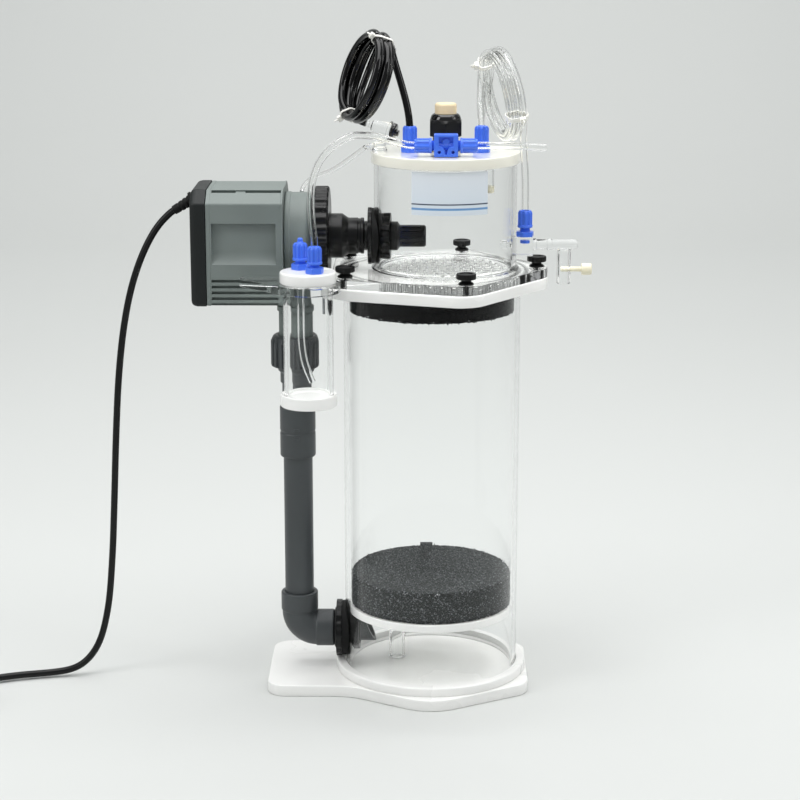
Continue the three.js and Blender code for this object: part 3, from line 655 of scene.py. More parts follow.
def tie(path, r, at, along, facing, width, reach=24):
    """A cable tie pulled snug round every strand of a path that crosses its plane, with its head and tail."""
    at, along = Vector(at), Vector(along).normalized()
    facing = Vector(facing)
    facing = (facing - along * facing.dot(along)).normalized()
    across = along.cross(facing)
    crossings = []
    for a, b in zip(path, path[1:]):
        da, db = (a - at).dot(along), (b - at).dot(along)
        if da * db <= 0 and da != db and (a - at).length < reach:
            p = a.lerp(b, da / (da - db)) - at
            crossings.append(Vector((p.dot(across), p.dot(facing))))
    inner = hull_of([c + Vector((math.cos(TURN * k / 14), math.sin(TURN * k / 14))) * (r + 0.2)
        for c in crossings for k in range(14)])
    outer = inset(inner, -0.9)
    place = Matrix(((across.x, facing.x, along.x, at.x), (across.y, facing.y, along.y, at.y),
        (across.z, facing.z, along.z, at.z), (0, 0, 0, 1)))
    top = max(outer, key=lambda p: p.y)
    head = place @ Matrix.Translation((top.x, top.y - 0.4, 0)) @ Matrix.Rotation(-math.pi / 2, 4, "X")
    knob = plate(rect(-2.4, 2.4, -width / 2 - 0.7, width / 2 + 0.7, 0.6), -0.3, 3.4, 0.5, place=head)
    tail = plate(rect(-0.5, 0.5, -width / 2 + 0.2, width / 2 - 0.2, 0.3), 3.0, 6.4, 0.25, place=head)
    return plate(outer, -width / 2, width / 2, 0.25, [inner], 2, place), knob, tail


# Mains lead: out of the pump's cord relief, down, along the floor and into a coil beside the view.
LEAD_R = 3.0
floor_z = LEAD_R + 1.6
lead_route = curve_through([(-217.6, 0, 412.4), (-225.5, 0, 406.5), (-234, 0, 395.5), (-244, 0, 377),
    (-254, 0, 350), (-262, 0, 315), (-268, 0, 270), (-272, -1, 215), (-275, -2, 160), (-278.5, -3, 105),
    (-284, -4, 58), (-294, -6, 25), (-310, -9, 8), (-332, -13, floor_z), (-356, -19, floor_z),
    (-378, -27, floor_z), (-393, -35.5, floor_z)], 4)
coil_centre = Vector((-440, -20, 0))
X, Y, Z = Vector(TO_X), Vector((0, 1, 0)), Vector((0, 0, 1))
coil_line = wound(coil_centre, Y, X, Z, -68, -1, 4.144, [(39, floor_z, 0), (32.8, floor_z, 0),
    (26.6, floor_z, 0), (29.7, floor_z + 5.6, 0), (36.2, floor_z + 5.6, 0)])
lead_end = Vector((-453.5, -94, 17.8))
into_coil = link(lead_route, coil_line)
back_turn = [Vector((-469.5 + 22.9 * math.cos(math.radians(a)), -71.1 + 22.9 * math.sin(math.radians(a)),
    floor_z + 5.6 + (17.8 - floor_z - 5.6) * (a - 60) / 210)) for a in range(68, 271, 8)]
lead_path = eased(lead_route + into_coil + coil_line + back_turn + [lead_end])

plug_look = piece("plug_body", [lathe([(0, -26), (4.4, -26), (4.9, -24), (4.4, -22), (5.6, -20.6),
    (5.0, -18.6), (6.6, -17), (6.2, -14), (11.5, -8), (17.3, -2), (17.5, 6), (16.9, 8), (16.9, 20),
    (17.5, 21.5), (17.5, 22.8), (15.5, 23.4), (0, 23.4)], 64, (-427.6, -94, 17.8), TO_X, 0.8,
    ribbed(22, 0.7, 6.8, 20.4, 15))], BLACK, BASE, "mains_plug")
plug_pins = piece("plug_pins", [lathe([(0, 0), (2.4, 0), (2.4, 17), (1.4, 18.8), (0, 18.8)], 24,
    (-404.4, y, 17.8), TO_X, 0.4) for y in (-103.5, -84.5)], BRASS, BASE)
hose("pump_lead", lead_path, LEAD_R, LEAD, BASE, ["mains_lead", "mains_coil"],
    sides=12, blended=(UPPER, BASE,
    (-0.215, 0, 0.414), (-0.290, -0.005, 0.040)))
piece("lead_tie", tie(lead_path, LEAD_R, coil_centre + Vector((0, 32.8, 6)), X, Z, 3.4), LEAD, BASE)

# Black air hose: up from the left lid nut, wound and tied, ending in a check valve.
black_centre = Vector((-54.3, 12, 523))
black_axis, black_u, black_w = coil_axes((0.897, 0.3, -0.326), (0.342, 0, 0.94))
black_riser = curve_through([(-18.7, -10, 478), (-18.7, -10, 487), (-20, -9.6, 497), (-23, -8, 509),
    (-26.5, -5.5, 521), (-31, -2.5, 535)], 3)
black_coil = wound(black_centre, black_u, black_w, black_axis, 90, 1, 4.4, [(34.2, 6.0, 3.4),
    (37.6, 2.0, 1.6), (34.2, -2.0, 0.2), (37.6, -6.0, -0.8), (34.4, -8.6, -0.8)], loose=(100, 250))
valve_in = Vector((-55.5, 10.5, 484.8))
valve_along = Vector((0.953, -0.24, -0.27)).normalized()
cut_at = next(i for i in range(len(black_coil) - 1, 0, -1)
    if (black_coil[i] - black_centre).dot(black_w) < -16
    and (black_coil[i] - black_centre).dot(black_u) < -16)
black_coil = black_coil[:cut_at + 1]
black_path = eased(black_riser + link(black_riser, black_coil) + black_coil + bridge(black_coil[-1],
    black_coil[-1] - black_coil[-2], valve_in, valve_along, 1.1, 10) + [valve_in])
valve_foot = (-51.5, 9.5, 483.6)
valve_clear = piece("check_valve_barrel", [lathe([(0, -3.6), (2.2, -3.6), (2.8, -1.8), (2.3, -1.4),
    (2.8, 0.4), (2.6, 0.8), (4.4, 1.2), (5.4, 6), (6.4, 13), (6.4, 15.4), (8.0, 16), (8.0, 18.2),
    (0, 18.2)], 64, valve_foot, valve_along, 0.4)], CLEAR, UPPER)
valve_black = piece("check_valve_cap", [lathe([(0, 18.4), (7.0, 18.4), (7.4, 19.2), (7.4, 21.4),
    (6.6, 22.2), (3.4, 22.4), (2.7, 23), (2.7, 25), (0, 25)], 64, valve_foot, valve_along, 0.4)],
    GLOSS_BLACK, UPPER, "check_valve")
hose("air_hose", black_path, 3.0, HOSE_BLACK, UPPER, ["black_hose", "black_hose_coil"])

# Clear hose: up from the right lid nut, wound and tied, then down to the side outlet.
clear_centre = Vector((57.7, 4, 509.5))
clear_axis, clear_u, clear_w = coil_axes((0.939, 0.28, 0.202), (-0.21, 0, 0.978))
clear_riser = curve_through([(40.8, -10, 478), (40.8, -9.6, 484), (40.6, -5, 491), (40.0, 5, 497),
    (39.8, 16, 501), (40.2, 26, 506), (41, 33.5, 514)], 3)
clear_coil = wound(clear_centre, clear_u, clear_w, clear_axis, 148, -1, 4.48, [(36.8, -4.6, 0),
    (33.4, 0.6, 0), (37.6, 1.6, 0), (32.9, -5.6, 0), (37.2, 4.8, 0)])
clear_drop = curve_through([(75.2, -11, 469), (76.3, -12.2, 458), (77.2, -15.5, 443), (77.3, -17.8, 428),
    (77.3, -18, 418), (77.3, -18, 406)], 3)
clear_path = eased(clear_riser + link(clear_riser, clear_coil) + clear_coil + link(clear_coil, clear_drop)
    + clear_drop)
hose("sample_hose", clear_path, 3.0, CLEAR_HOSE, UPPER, ["clear_hose", "clear_hose_coil",
    "clear_hose_drop"], inner=2.0)

# Counter hose, thin pump hose and the short stub on the valve block.
counter_path = curve_through([(-9.5, -41, 472.4), (-20, -41.3, 473), (-28, -42, 474.8), (-37, -43, 477.5),
    (-46, -44, 480.1), (-55, -46, 481.3), (-63, -48, 481.5), (-71, -51.5, 479.2), (-81.4, -56.5, 473),
    (-90.5, -62, 463), (-96.5, -68, 448), (-98, -73, 432), (-97, -78, 416), (-95.3, -82, 402),
    (-95, -83.5, 388)], 3)
hose("bubble_hose", counter_path, 3.0, CLEAR_HOSE, UPPER, ["counter_hose"],
    inner=2.0, blended=(UPPER, BASE, (-0.014, -0.041, 0.472), (-0.095, -0.082, 0.400)))
pump_path = eased(curve_through([(-56.2, 0.2, 465.9), (-62, 4, 461), (-69, 9, 455.5), (-78, 17.5, 448.2),
    (-87.5, 27, 441.5), (-95.5, 36.5, 438), (-103, 43, 435.6), (-109, 44, 432), (-111.4, 39.6, 428.6),
    (-111, 31.9, 423.4)], 2.5), 30, 2.5)
hose("priming_hose", pump_path, 2.0, CLEAR_HOSE, UPPER, ["pump_hose"],
    inner=1.25)
stub_path = curve_through([(31.5, -41, 472.4), (50, -41, 472.4), (70, -41, 472), (93, -41, 471)], 4)
hose("stub_of_hose", stub_path, 3.0, CLEAR_HOSE, UPPER, ["stub_hose"],
    inner=2.0)

bpy.context.view_layer.update()


# ---------------------------------------------------------------- base and reaction tube

SCREWS = [(88.4 * math.cos(TURN * k / 5), 88.4 * math.sin(TURN * k / 5)) for k in range(5)]


def pentagon():
    reach = 83.5 / math.cos(math.pi / 5)
    return rounded([(reach * math.cos(TURN * k / 5), reach * math.sin(TURN * k / 5), 24) for k in range(5)],
        14)


corner = 84 / math.cos(math.pi / 6)
meet = -(corner - 57) / math.tan(math.pi / 6)
base_outline = rounded([(84, -corner / 2, 18), (84, corner / 2, 18), (0, corner, 40), (meet, 57, 60),
    (-141, 57, 16), (-141, -57, 16), (meet, -57, 60), (0, -corner, 40)], 16)
piece("base_board", [plate(base_outline, 0, 10, 1.0)], WHITE, BASE, "base_plate")
piece("foot_ring", [lathe([(75.3, 10.02), (82.7, 10.02), (82.7, 17.0), (81.7, 17.8), (75.3, 17.8)], 160,
    soft=0.6)], WHITE, BASE)
piece("media_tube", [lathe(band(71, 75, 10.3, 356.7), 160, soft=0.35)], CLEAR, BASE, "reactor_tube",
    cuts=[lathe(band(0, 14.5, -80, -66), 48, INLET, TO_X, 0)])
piece("glue_ring", [lathe([(72.2, 10.3), (74.4, 10.3), (74.4, 12.6), (72.9, 11.5)], 120, soft=0.2)], WHITE,
    BASE)

flange_holes = [ring_of(2.8, s, 20) for s in SCREWS] + [ring_of(75.3, (0, 0), 160)]
piece("body_ring", [plate(pentagon(), 347.5, 357, 0.9, flange_holes)], WHITE, BASE, "body_flange",
    join=[plate(rounded([(-72, -53, 2), (-72, -41, 2), (-85.3, -41, 5.9), (-91.3, -47, 5),
    (-85.3, -53, 5.9)], 8), 347.5, 357, 0.9)], cuts=[lathe(band(77.9, 81.5, 354.1, 358), 160, soft=0),
    lathe(band(0, 2.5, 340, 360), 24, BOLT, soft=0)])
piece("seal_ring", [lathe([(78.5, 355.65), (78.9, 354.8), (79.7, 354.42), (80.5, 354.8), (80.9, 355.65),
    (80.5, 356.5), (79.7, 356.88), (78.9, 356.5)], 160, soft=0.3)], RUBBER, BASE, "flange_o_ring")

plate_holes = [ring_of(2.6, (12 * i + (6 if j % 2 else 0), 10.4 * j), 10) for j in range(-6, 7)
    for i in range(-6, 7) if 0 < math.hypot(12 * i + (6 if j % 2 else 0), 10.4 * j) < 64]
plate_holes = [h for h in plate_holes if math.hypot(sum(p.x for p in h) / 10 + 30,
    sum(p.y for p in h) / 10 - 18) > 11]
piece("media_shelf", [plate(ring_of(70.4, seg=140), 63, 70, 0.6, plate_holes, 2)], WHITE, BASE,
    "media_plate")
piece("shelf_leg", [lathe(band(5, 7, 10.4, 62.9), 40, (-30, 18, 0), soft=0.2)], CLEAR, BASE)


def sponge(name, r, low, high, look, node, seed, free, cuts=()):
    """A foam disc with a torn, porous skin. Ragged tufts stand up along its free rim."""
    seg, step = 520, 0.85
    line = [(r * k / 60, high) for k in range(1, 60)] + [(r - 0.3, high - 0.2)]
    rows = round((high - low) / step)
    line += [(r, high - 0.6 - (high - low - 1.2) * k / rows)
        for k in range(rows + 1)] + [(r - 0.3, low + 0.2)]
    line += [(r * k / 60, low) for k in range(59, 0, -1)]
    points, faces, rings = [Vector((0, 0, high))], [], [[0]]
    for radius, z in line:
        rings.append(range(len(points), len(points) + seg))
        face = 1 if z > high - 0.25 else (-1 if z < low + 0.25 else 0)
        for k in range(seg):
            a = TURN * k / seg
            p = Vector((radius * math.cos(a), radius * math.sin(a), z))
            edge = min(1, max(0, (radius - r + 4) / 4)) * min(1, max(0, 1 - min(high - z, z - low) / 4))
            pit = (0.9 + 4.0 * edge) * abs(noise.noise(p * 1.7 + Vector((seed, 0, 0))))
            pit += 0.6 * abs(noise.noise(p * 0.21))
            if abs(z - free) < 2:
                pit -= 2.6 * edge * edge * max(0, noise.noise(p * 3.1 + Vector((0, seed, 0))))
            inward = Vector((0, 0, -face)) if face else Vector((-math.cos(a), -math.sin(a), 0))
            if radius > r - 1.5 and face:
                inward += Vector((-math.cos(a), -math.sin(a), 0))
            points.append(p + inward * pit)
    rings.append([len(points)])
    points.append(Vector((0, 0, low)))
    for a, b in zip(rings, rings[1:]):
        faces += between(a, b)
    pad = piece(name, [(points, faces)], look, BASE, node, cuts=cuts, smooth=180, weighted=False)
    pad.data.materials.append(GLINT)
    # Faces near the rim take the pale material at random: painted glints along the torn edge.
    draw = random.Random(seed)
    for face in pad.data.polygons:
        at = face.center / MM
        rim = min(1, max(0, (math.hypot(at.x, at.y) - r + 3.0) / 3.0))
        rim *= min(1, max(0, 1 - min(high - at.z, at.z - low) / 2.6))
        if draw.random() < 0.26 * rim * rim:
            face.material_index = 1
    return pad


# The cut at the back of the lower pad, a wedge that closes to a slit.
notch = [Vector(p) for p in ((-9.6, 66.5), (-6.4, 58), (-5.2, 46), (-4.9, 30), (-4.4, 12), (-3.4, 12),
    (-3.5, 30), (-3.2, 46), (-1.8, 58), (1.6, 66.5))]
sponge("lower_foam", 69.6, 70.4, 98, FOAM, "lower_sponge", 3.0, 98, [plate(notch, 82, 101, 0)])
sponge("upper_foam", 69.9, 329.3, 353.6, BLACK_FOAM, "upper_sponge", 11.0, 329.3)
piece("foam_guard", [plate(ring_of(70.5, seg=140), 354.3, 356.6, 0.3, hole_rings(2.0, 7, 7.6, 7), 2)],
    WHITE, BASE)

# Inlet at the foot of the tube.
saddle = [lathe(band(13.2, 24, -78, -70), 72, INLET, TO_X, 0.3)]
piece("inlet_connector", [lathe([(9, -84.6), (15.5, -84.6), (18, -83.6), (18, -82.6), (24.8, -82.6),
    (24.8, -77.6), (14, -77.6), (14, -64), (9, -64)], 84, INLET, TO_X, 0.6,
    ribbed(16, 0.9, -82.2, -78.0, 24))], BLACK, BASE, "inlet_bulkhead")
piece("inlet_seal", saddle, RUBBER, BASE, cuts=[lathe(band(0, 75.3, -40, 130), 160, soft=0)])
piece("inlet_spout", [lathe(band(8, 11, -63.4, -48), 60, INLET, TO_X, 0.4)], PVC, BASE, "inlet_nozzle",
    cuts=[plate(rect(-20, 20, -40, 40), 0, 40, 0, place=Matrix.Translation((-53, 0, 43))
    @ Matrix.Rotation(math.radians(65), 4, "Y"))])
piece("inlet_lock_nut", [lathe(band(14.3, 19.6, -67.8, -62.2), 84, INLET, TO_X, 0.6, hexed(17.2)),
    lathe([(9, -62.9), (12.4, -62.9), (12.4, -61.2), (11.2, -61.2), (9, -61.9)], 60, INLET, TO_X, 0.2)],
    BLACK, BASE)

# Return pipework.
piece("foot_elbow", [lathe([(12.8, 16.6), (15.2, 16.6), (16.1, 18.0), (16.1, 33.0), (15.6, 34), (12.8, 34)],
    72, (PIPE_X, 0, 43), (0, 0, 1), 0.5), lathe([(10, 14), (15.2, 14), (16.1, 15.4), (16.1, 29.2),
    (15.6, 30.2), (10, 30.2)], 72, (PIPE_X, 0, 43), TO_X, 0.5), tube([Vector((PIPE_X, 0, 43 + 20 - 1.0 * k))
    for k in range(0, 4)] + [Vector((PIPE_X + 16 - 16 * math.cos(math.radians(a)), 0, 43
    + 16 - 16 * math.sin(math.radians(a)))) for a in range(0, 91, 6)]
    + [Vector((PIPE_X + 16 + 1.0 * k, 0, 43)) for k in range(1, 5)], 15.3, 64, 10)], PVC, BASE, "elbow")
piece("rise_pipe", [lathe(band(10, 12.5, 60.3, 199.7), 72, PIPE, soft=0.4)], PVC, BASE, "discharge_pipe")
piece("pipe_coupler", [lathe([(12.7, 199.8), (14.6, 199.8), (15.3, 201), (15.3, 220.6), (14.9, 221.3),
    (14.9, 222.7), (15.3, 223.4), (15.3, 243.1), (14.6, 244.3), (13.2, 244.3), (13.2, 221), (12.7, 221)],
    72, PIPE, soft=0.4), block(-117.2, -112.8, -15.9, -14.8, 224.6, 226.6, 0.4, 0.2), block(-117.2, -112.8,
    -15.9, -14.8, 217.4, 219.4, 0.4, 0.2)], PVC, BASE)
piece("union_socket", [lathe([(10, 221.4), (12.9, 221.4), (12.9, 264.0), (14.4, 265.4), (14.4, 274),
    (16.4, 276), (16.4, 280.7), (18.5, 280.9), (18.5, 294.2), (10, 294.2)], 72, PIPE, soft=0.5)], PVC, BASE,
    "union_tail")
piece("union_ring", [lathe([(18.9, 279.9), (22.0, 279.9), (22.2, 281.4), (22.2, 301.2), (20.2, 305.6),
    (18.6, 306.6), (15.5, 306.6), (15.5, 302.2), (18.9, 302.2)], 200, PIPE, soft=0.6,
    shape=ribbed(20, 2.1, 281.0, 302.8, 21, 2.6))], PVC, "union_nut", "union_nut")


# ---------------------------------------------------------------- pump

PUMP_AXIS = dict(at=(0, 0, PUMP_Z), to=TO_X)
volute_shapes = [lathe([(14.5, -122.9), (36.6, -122.9), (37.2, -121.8), (37.2, -118.6), (36.6, -118),
    (36.6, -104.5), (34, -101), (30, -99.5), (29.6, -92.1), (14, -92.1), (14, -103), (29, -103),
    (29, -119.5), (14.5, -119.5)], 120, soft=1.2, steps=4, **PUMP_AXIS), lathe([(9.5, 301.0), (14.2, 301.0),
    (15.1, 303.6), (15.1, 326.4), (14.3, 327.4), (16.4, 327.6), (16.4, 331.8), (14, 332.4), (13, 342),
    (12.2, 352), (12.2, 358), (9.5, 358)], 72, PIPE, soft=0.5), lathe(band(9.5, 18, 294.6, 301.9), 72, PIPE,
    soft=0.5), lathe([(0, 30), (3.4, 30), (3.4, 35), (2.4, 36), (2.4, 44.5), (0, 44.5)], 24,
    (-111, 0, PUMP_Z), (0, 0.7071, 0.7071), 0.3),]
piece("pump_volute", volute_shapes, MOTOR, UPPER, "volute")


def motor_outline(grow=0.0, r=2.4):
    return rounded([(42 + grow, 339 - grow, 3.2), (42 + grow, 424.3, r), (27 + grow / 2, 433.8 + grow, r),
        (-27 - grow / 2, 433.8 + grow, r), (-42 - grow, 424.3, r), (-42 - grow, 339 - grow, 3.2)], 5)


motor_cuts = [lathe([(0, -175), (2.6, -175), (2.6, -170), (14.5, -170), (14.5, -122), (0, -122)], 40,
    soft=0, **PUMP_AXIS)]
for side in (-1, 1):
    groove_rows = [340.3 + 4.9 * k for k in range(5)]
    for z in groove_rows:
        motor_cuts.append(plate([Vector((side * 43, z - 1.3)), Vector((side * 43, z + 1.3)),
            Vector((side * 38.6, z + 1.0)), Vector((side * 38.6, z - 1.0))], -182.6, -127.4, 0,
            place=ALONG_X))
    scoop = [(side * 43.5, 408.2), (side * 37.6, 407.2), (side * 37.4, 384), (side * 38.0, 380.4),
        (side * 39.4, 377.2), (side * 41.4, 374.2), (side * 43.5, 372.2)]
    motor_cuts.append(plate([Vector(p) for p in scoop], -182.2, -129, 0, place=ALONG_X))
    slot_at = Matrix.Translation((0, side * 28.6, 432.6)) @ Matrix.Rotation(-side * math.radians(32.4), 4,
        "X")
    for x0, x1 in ((-182.6, -162.5), (-154.5, -124.4)):
        motor_cuts.append(plate(rect(x0, x1, -1.7, 1.7, 0.4), -3.4, 6, 0, place=slot_at))
    motor_cuts.append(plate(rect(-162.6, -154.4, -1.7, 1.7, 0.4), -0.9, 6, 0, place=slot_at))
piece("motor_body", [plate(motor_outline(), -186.8, -123.2, 1.0, place=ALONG_X)], MOTOR, UPPER,
    "motor_housing", cuts=motor_cuts, smooth=32)
piece("motor_front_lip", [plate(motor_outline(0.45), -125.0, -123.25, 0.5, [motor_outline(-3, 1.6)],
    place=ALONG_X)], MOTOR, UPPER)
piece("motor_rear_lip", [plate(motor_outline(0.3), -186.7, -183.3, 0.4, [motor_outline(-3, 1.6)],
    place=ALONG_X)], MOTOR, UPPER)


def dome_cover():
    """The rear cover: the motor's outline, domed towards its back."""
    levels = [(-187.1, 0.3), (-187.4, 0.8), (-194.6, 0.8), (-197.4, 0.2), (-199.0, -0.8), (-199.8, -2.2),
        (-200, -4.4)]
    points, faces, rings = [], [], []
    for x, grow in levels:
        moved = motor_outline(grow, 3)
        rings.append(range(len(points), len(points) + len(moved)))
        points += [Vector((x, p.x, p.y)) for p in moved]
    for a, b in zip(rings, rings[1:]):
        faces += walls(a, b)
    faces += [tuple(rings[0]), tuple(reversed(rings[-1]))]
    return points, faces


cover_holes = [lathe(band(0, 3.4, -201, -197), 24, (0, y, z), TO_X, 0) for y in (-31, 31)
    for z in (350, 414)]
cover_vents = [plate(rect(-18, 18, z, z + 2.6, 1.2), -201, -198.4, 0, place=ALONG_X)
    for z in (357, 363, 369, 375, 381)]
piece("motor_cover", [dome_cover()], COVER, UPPER, "rear_cover", cuts=cover_holes + cover_vents, smooth=30)
piece("cover_screws", [lathe([(0, -198.9), (1.3, -198.9), (1.3, -198.1), (2.9, -198.3), (2.9, -196.9),
    (0, -196.9)], 24, (0, y, z), TO_X, 0.2) for y in (-31, 31) for z in (350, 414)], STEEL, UPPER)
relief_at, relief_to = Vector((-200, 0, 423)), Vector((-0.8563, 0, -0.5165))
piece("lead_relief", [lathe([(0, 0.4), (6.6, 0.4), (6.6, 2.6), (4.9, 3.2), (4.8, 5), (4.1, 5.4), (4.1, 6.4),
    (4.7, 6.8), (4.5, 9), (3.9, 9.4), (3.9, 10.4), (4.4, 10.8), (4.2, 13), (3.7, 13.4), (3.7, 14.4),
    (4.1, 14.8), (3.8, 20), (3.05, 20.3), (3.05, 18), (0, 18)], 48, relief_at, relief_to, 0.25)], RUBBER,
    UPPER, "cord_relief")

blades = []
for k in range(6):
    line = []
    for s in range(8):
        r = 4.5 + 16.6 * s / 7
        a = TURN * k / 6 + 0.55 * (s / 7) ** 1.3
        line.append((r, a))
    outline = [Vector((r * math.cos(a + 0.8 / r), r * math.sin(a + 0.8 / r))) for r, a in line]
    outline += [Vector((r * math.cos(a - 0.8 / r), r * math.sin(a - 0.8 / r))) for r, a in reversed(line)]
    blades.append(plate(outline, -115.8, -107.2, 0.2, place=Matrix.Translation((0, 0, PUMP_Z)) @ ALONG_X))
piece("rotor_magnet", [lathe([(2.4, -165.6), (12.3, -165.6), (12.3, -124.2), (8, -122), (2.4, -122)], 60,
    soft=0.5, **PUMP_AXIS)], MAGNET, "rotor", "rotor")
piece("impeller", [lathe([(2.4, -121.9), (8, -121.9), (8, -118), (21.8, -118), (21.8, -115.8), (6, -115.8),
    (5, -106.2), (2.4, -106.2)], 72, soft=0.4, **PUMP_AXIS)] + blades, CERAMIC, "rotor")
piece("pump_shaft", [lathe([(0, -174.5), (1.6, -174.5), (2, -173.9), (2, -101.6), (1.6, -101), (0, -101)],
    32, soft=0.2, **PUMP_AXIS)], CERAMIC, UPPER, "rotor_shaft")

piece("inlet_union_nut", [lathe([(30.5, -98.6), (40.6, -98.6), (41.7, -97.4), (41.7, -87.4), (40.2, -86.2),
    (36, -86), (20.3, -86), (20.3, -89.5), (30.5, -89.5)], 216, soft=0.8,
    shape=ribbed(27, 1.5, -98.2, -86.3, 38, 3.0), **PUMP_AXIS)], BLACK, "pump_inlet_nut", "pump_inlet_nut")
piece("suction_cone", [lathe([(10.5, -91.8), (29.6, -91.8), (29.6, -89.8), (19.2, -89.8), (19.2, -88),
    (18.8, -87.6), (18.8, -75.6), (15.6, -71), (15.2, -70), (15.2, -62.4), (14.6, -62), (14.6, -60.2),
    (15.2, -59.8), (15.2, -57.3), (10.5, -57.3)], 84, soft=0.5, **PUMP_AXIS)], BLACK, UPPER,
    "suction_reducer")
piece("suction_connector", [lathe([(8.5, -57), (12.4, -57), (12.4, -54), (24, -54), (24, -50.6),
    (12, -50.6), (12, -36.4), (8.5, -36.4)], 96, soft=0.6, shape=ribbed(12, 1.2, -53.8, -50.8, 22),
    **PUMP_AXIS)], BLACK, UPPER, "suction_bulkhead")
piece("suction_seal", [lathe(band(12.2, 23.4, -50.5, -42), 72, soft=0.3, **PUMP_AXIS)], RUBBER, UPPER,
    cuts=[lathe(band(0, 60.3, 330, 450), 140, CHAMBER, soft=0)])
piece("suction_inner_seal", [lathe(band(12.5, 19, -46, -41.4), 72, soft=0.2, **PUMP_AXIS)], RUBBER, UPPER,
    cuts=[lathe(band(55.8, 80, 330, 450), 140, CHAMBER, soft=0)])
piece("suction_lock_nut", [lathe(band(12.3, 19.4, -41.2, -34.8), 144, soft=0.4,
    shape=ribbed(12, 2.2, -41.0, -35.0, 15, 3.0), **PUMP_AXIS)], BLACK, "suction_nut", "suction_nut")
strainer_cuts = [plate(rect(-25.5, -9.5, -0.8, 0.8, 0.6), 6.8, 14, 0,
    place=Matrix.Translation((0, 0, PUMP_Z)) @ Matrix.Rotation(TURN * k / 12, 4, "X")) for k in range(12)]
piece("intake_strainer", [lathe([(6.5, -34.7), (12.2, -34.7), (12.2, -29.2), (9.8, -27.4), (9.2, -26.8),
    (9.2, -6.4), (8, -5.1), (0, -5.1), (0, -7.5), (6.5, -7.5)], 72, soft=0.4, **PUMP_AXIS)], BLACK, UPPER,
    "suction_strainer", cuts=strainer_cuts)


# ---------------------------------------------------------------- upper chamber

drain = hole_rings(1.3, 8, 9.4, 6)
piece("clear_plate", [plate(pentagon(), 357.3, 365, 0.5, [ring_of(2.8, s, 24) for s in SCREWS] + drain, 2)],
    CLEAR_PLATE, UPPER, "chamber_plate")
piece("clear_chamber", [lathe(band(56, 60, 365.3, 453.7), 144, CHAMBER, soft=0.35)], CLEAR, UPPER,
    "chamber_tube", cuts=[lathe(band(0, 12.4, -56, -40), 48, (0, 0, PUMP_Z), TO_X, 0),
    lathe(band(0, 4.1, 55, 75), 32, (0, -18, 387.6), TO_X, 0)])
piece("chamber_inner_ring", [lathe([(53.4, 365.05), (55.9, 365.05), (55.9, 368), (54.6, 366.2)], 144,
    CHAMBER, soft=0.15)], CLEAR, UPPER)
piece("chamber_glue_ring", [lathe([(60.1, 365.3), (62.2, 365.3), (60.8, 366.1), (60.1, 367.4)], 144,
    CHAMBER, soft=0.15)], CLEAR, UPPER)
piece("white_lid", [plate(ring_of(62.5, (CHAMBER_X, 0), 160), 454, 463.3, 0.9,
    [ring_of(10.1, (CHAMBER_X, 0), 48)])], LID_WHITE, UPPER, "chamber_lid")


def thread(r, low, high, pitch=1.0, depth=0.35):
    """A threaded length's outline, from low to high, as a list of (radius, height)."""
    made = []
    z = low
    while z + pitch <= high:
        made += [(r - depth, z), (r, z + pitch / 2)]
        z += pitch
    return made + [(r - depth, z)]


def seat(name, x, y, z, body, tall=4.6):
    """A hexagon seat with its threaded neck, standing on a lid."""
    return piece(name, [lathe([(0, z + 0.02), (7.3, z + 0.02), (7.6, z + 0.8), (7.6, z + tall - 0.6),
        (7.1, z + tall), (0, z + tall)], 72, (x, y, 0), soft=0.25, shape=hexed(6.7, 0.3)),
        lathe([(2.0, z + tall - 0.6)] + thread(4.35, z + tall - 0.4, z + tall + 10.4)
        + [(2.0, z + tall + 10.6)], 48, (x, y, 0), soft=0)], BLUE, body)


def nut(name, at, to, body, node, ribs=8):
    """A hose compression nut with grip ribs, its foot at a point."""
    return piece(name, [lathe([(4.75, 0), (6.15, 0), (6.3, 0.5), (6.3, 1.7), (5.95, 2.2), (5.95, 12.3),
        (4.9, 14.2), (3.3, 14.2), (3.3, 10.7), (4.75, 10.7)], 120, at, to, 0.3,
        ribbed(ribs, 0.85, 2.25, 13.0, 5.0, 2.4))], BLUE, body, node)


for side, x in (("left", -18.7), ("right", 40.8)):
    seat(f"{side}_hose_seat", x, -10, LID_TOP, UPPER)
    nut(f"{side}_hose_nut", (x, -10, 470.7), (0, 0, 1), f"lid_nut_{side}", f"lid_nut_{side}")
piece("drop_tube", [lathe(band(2.6, 3.8, 434, 453.9), 36, (48, 0, 0), soft=0.2)], CLEAR, UPPER)
piece("drop_tube_end", [lathe([(2.4, 428), (3.4, 428), (4.1, 429), (4.1, 434), (2.4, 434)], 36, (48, 0, 0),
    soft=0.3)], NYLON, UPPER)
piece("priming_elbow", [lathe([(0, 463.35), (6.4, 463.35), (6.4, 465.4), (5, 466), (5, 469.6), (4, 470.6),
    (0, 470.6)], 40, (-44, 0, 0), soft=0.4, shape=hexed(5.9)), lathe([(0, 2), (3.1, 2), (3.1, 6),
    (2.4, 6.4), (2.9, 8.4), (2.2, 8.6), (2.7, 10.6), (1.2, 11.4), (1.2, 9), (0, 9)], 32, (-44, 0, 467.5),
    (-0.9925, 0, -0.1219), 0.2)], CLEAR, UPPER)

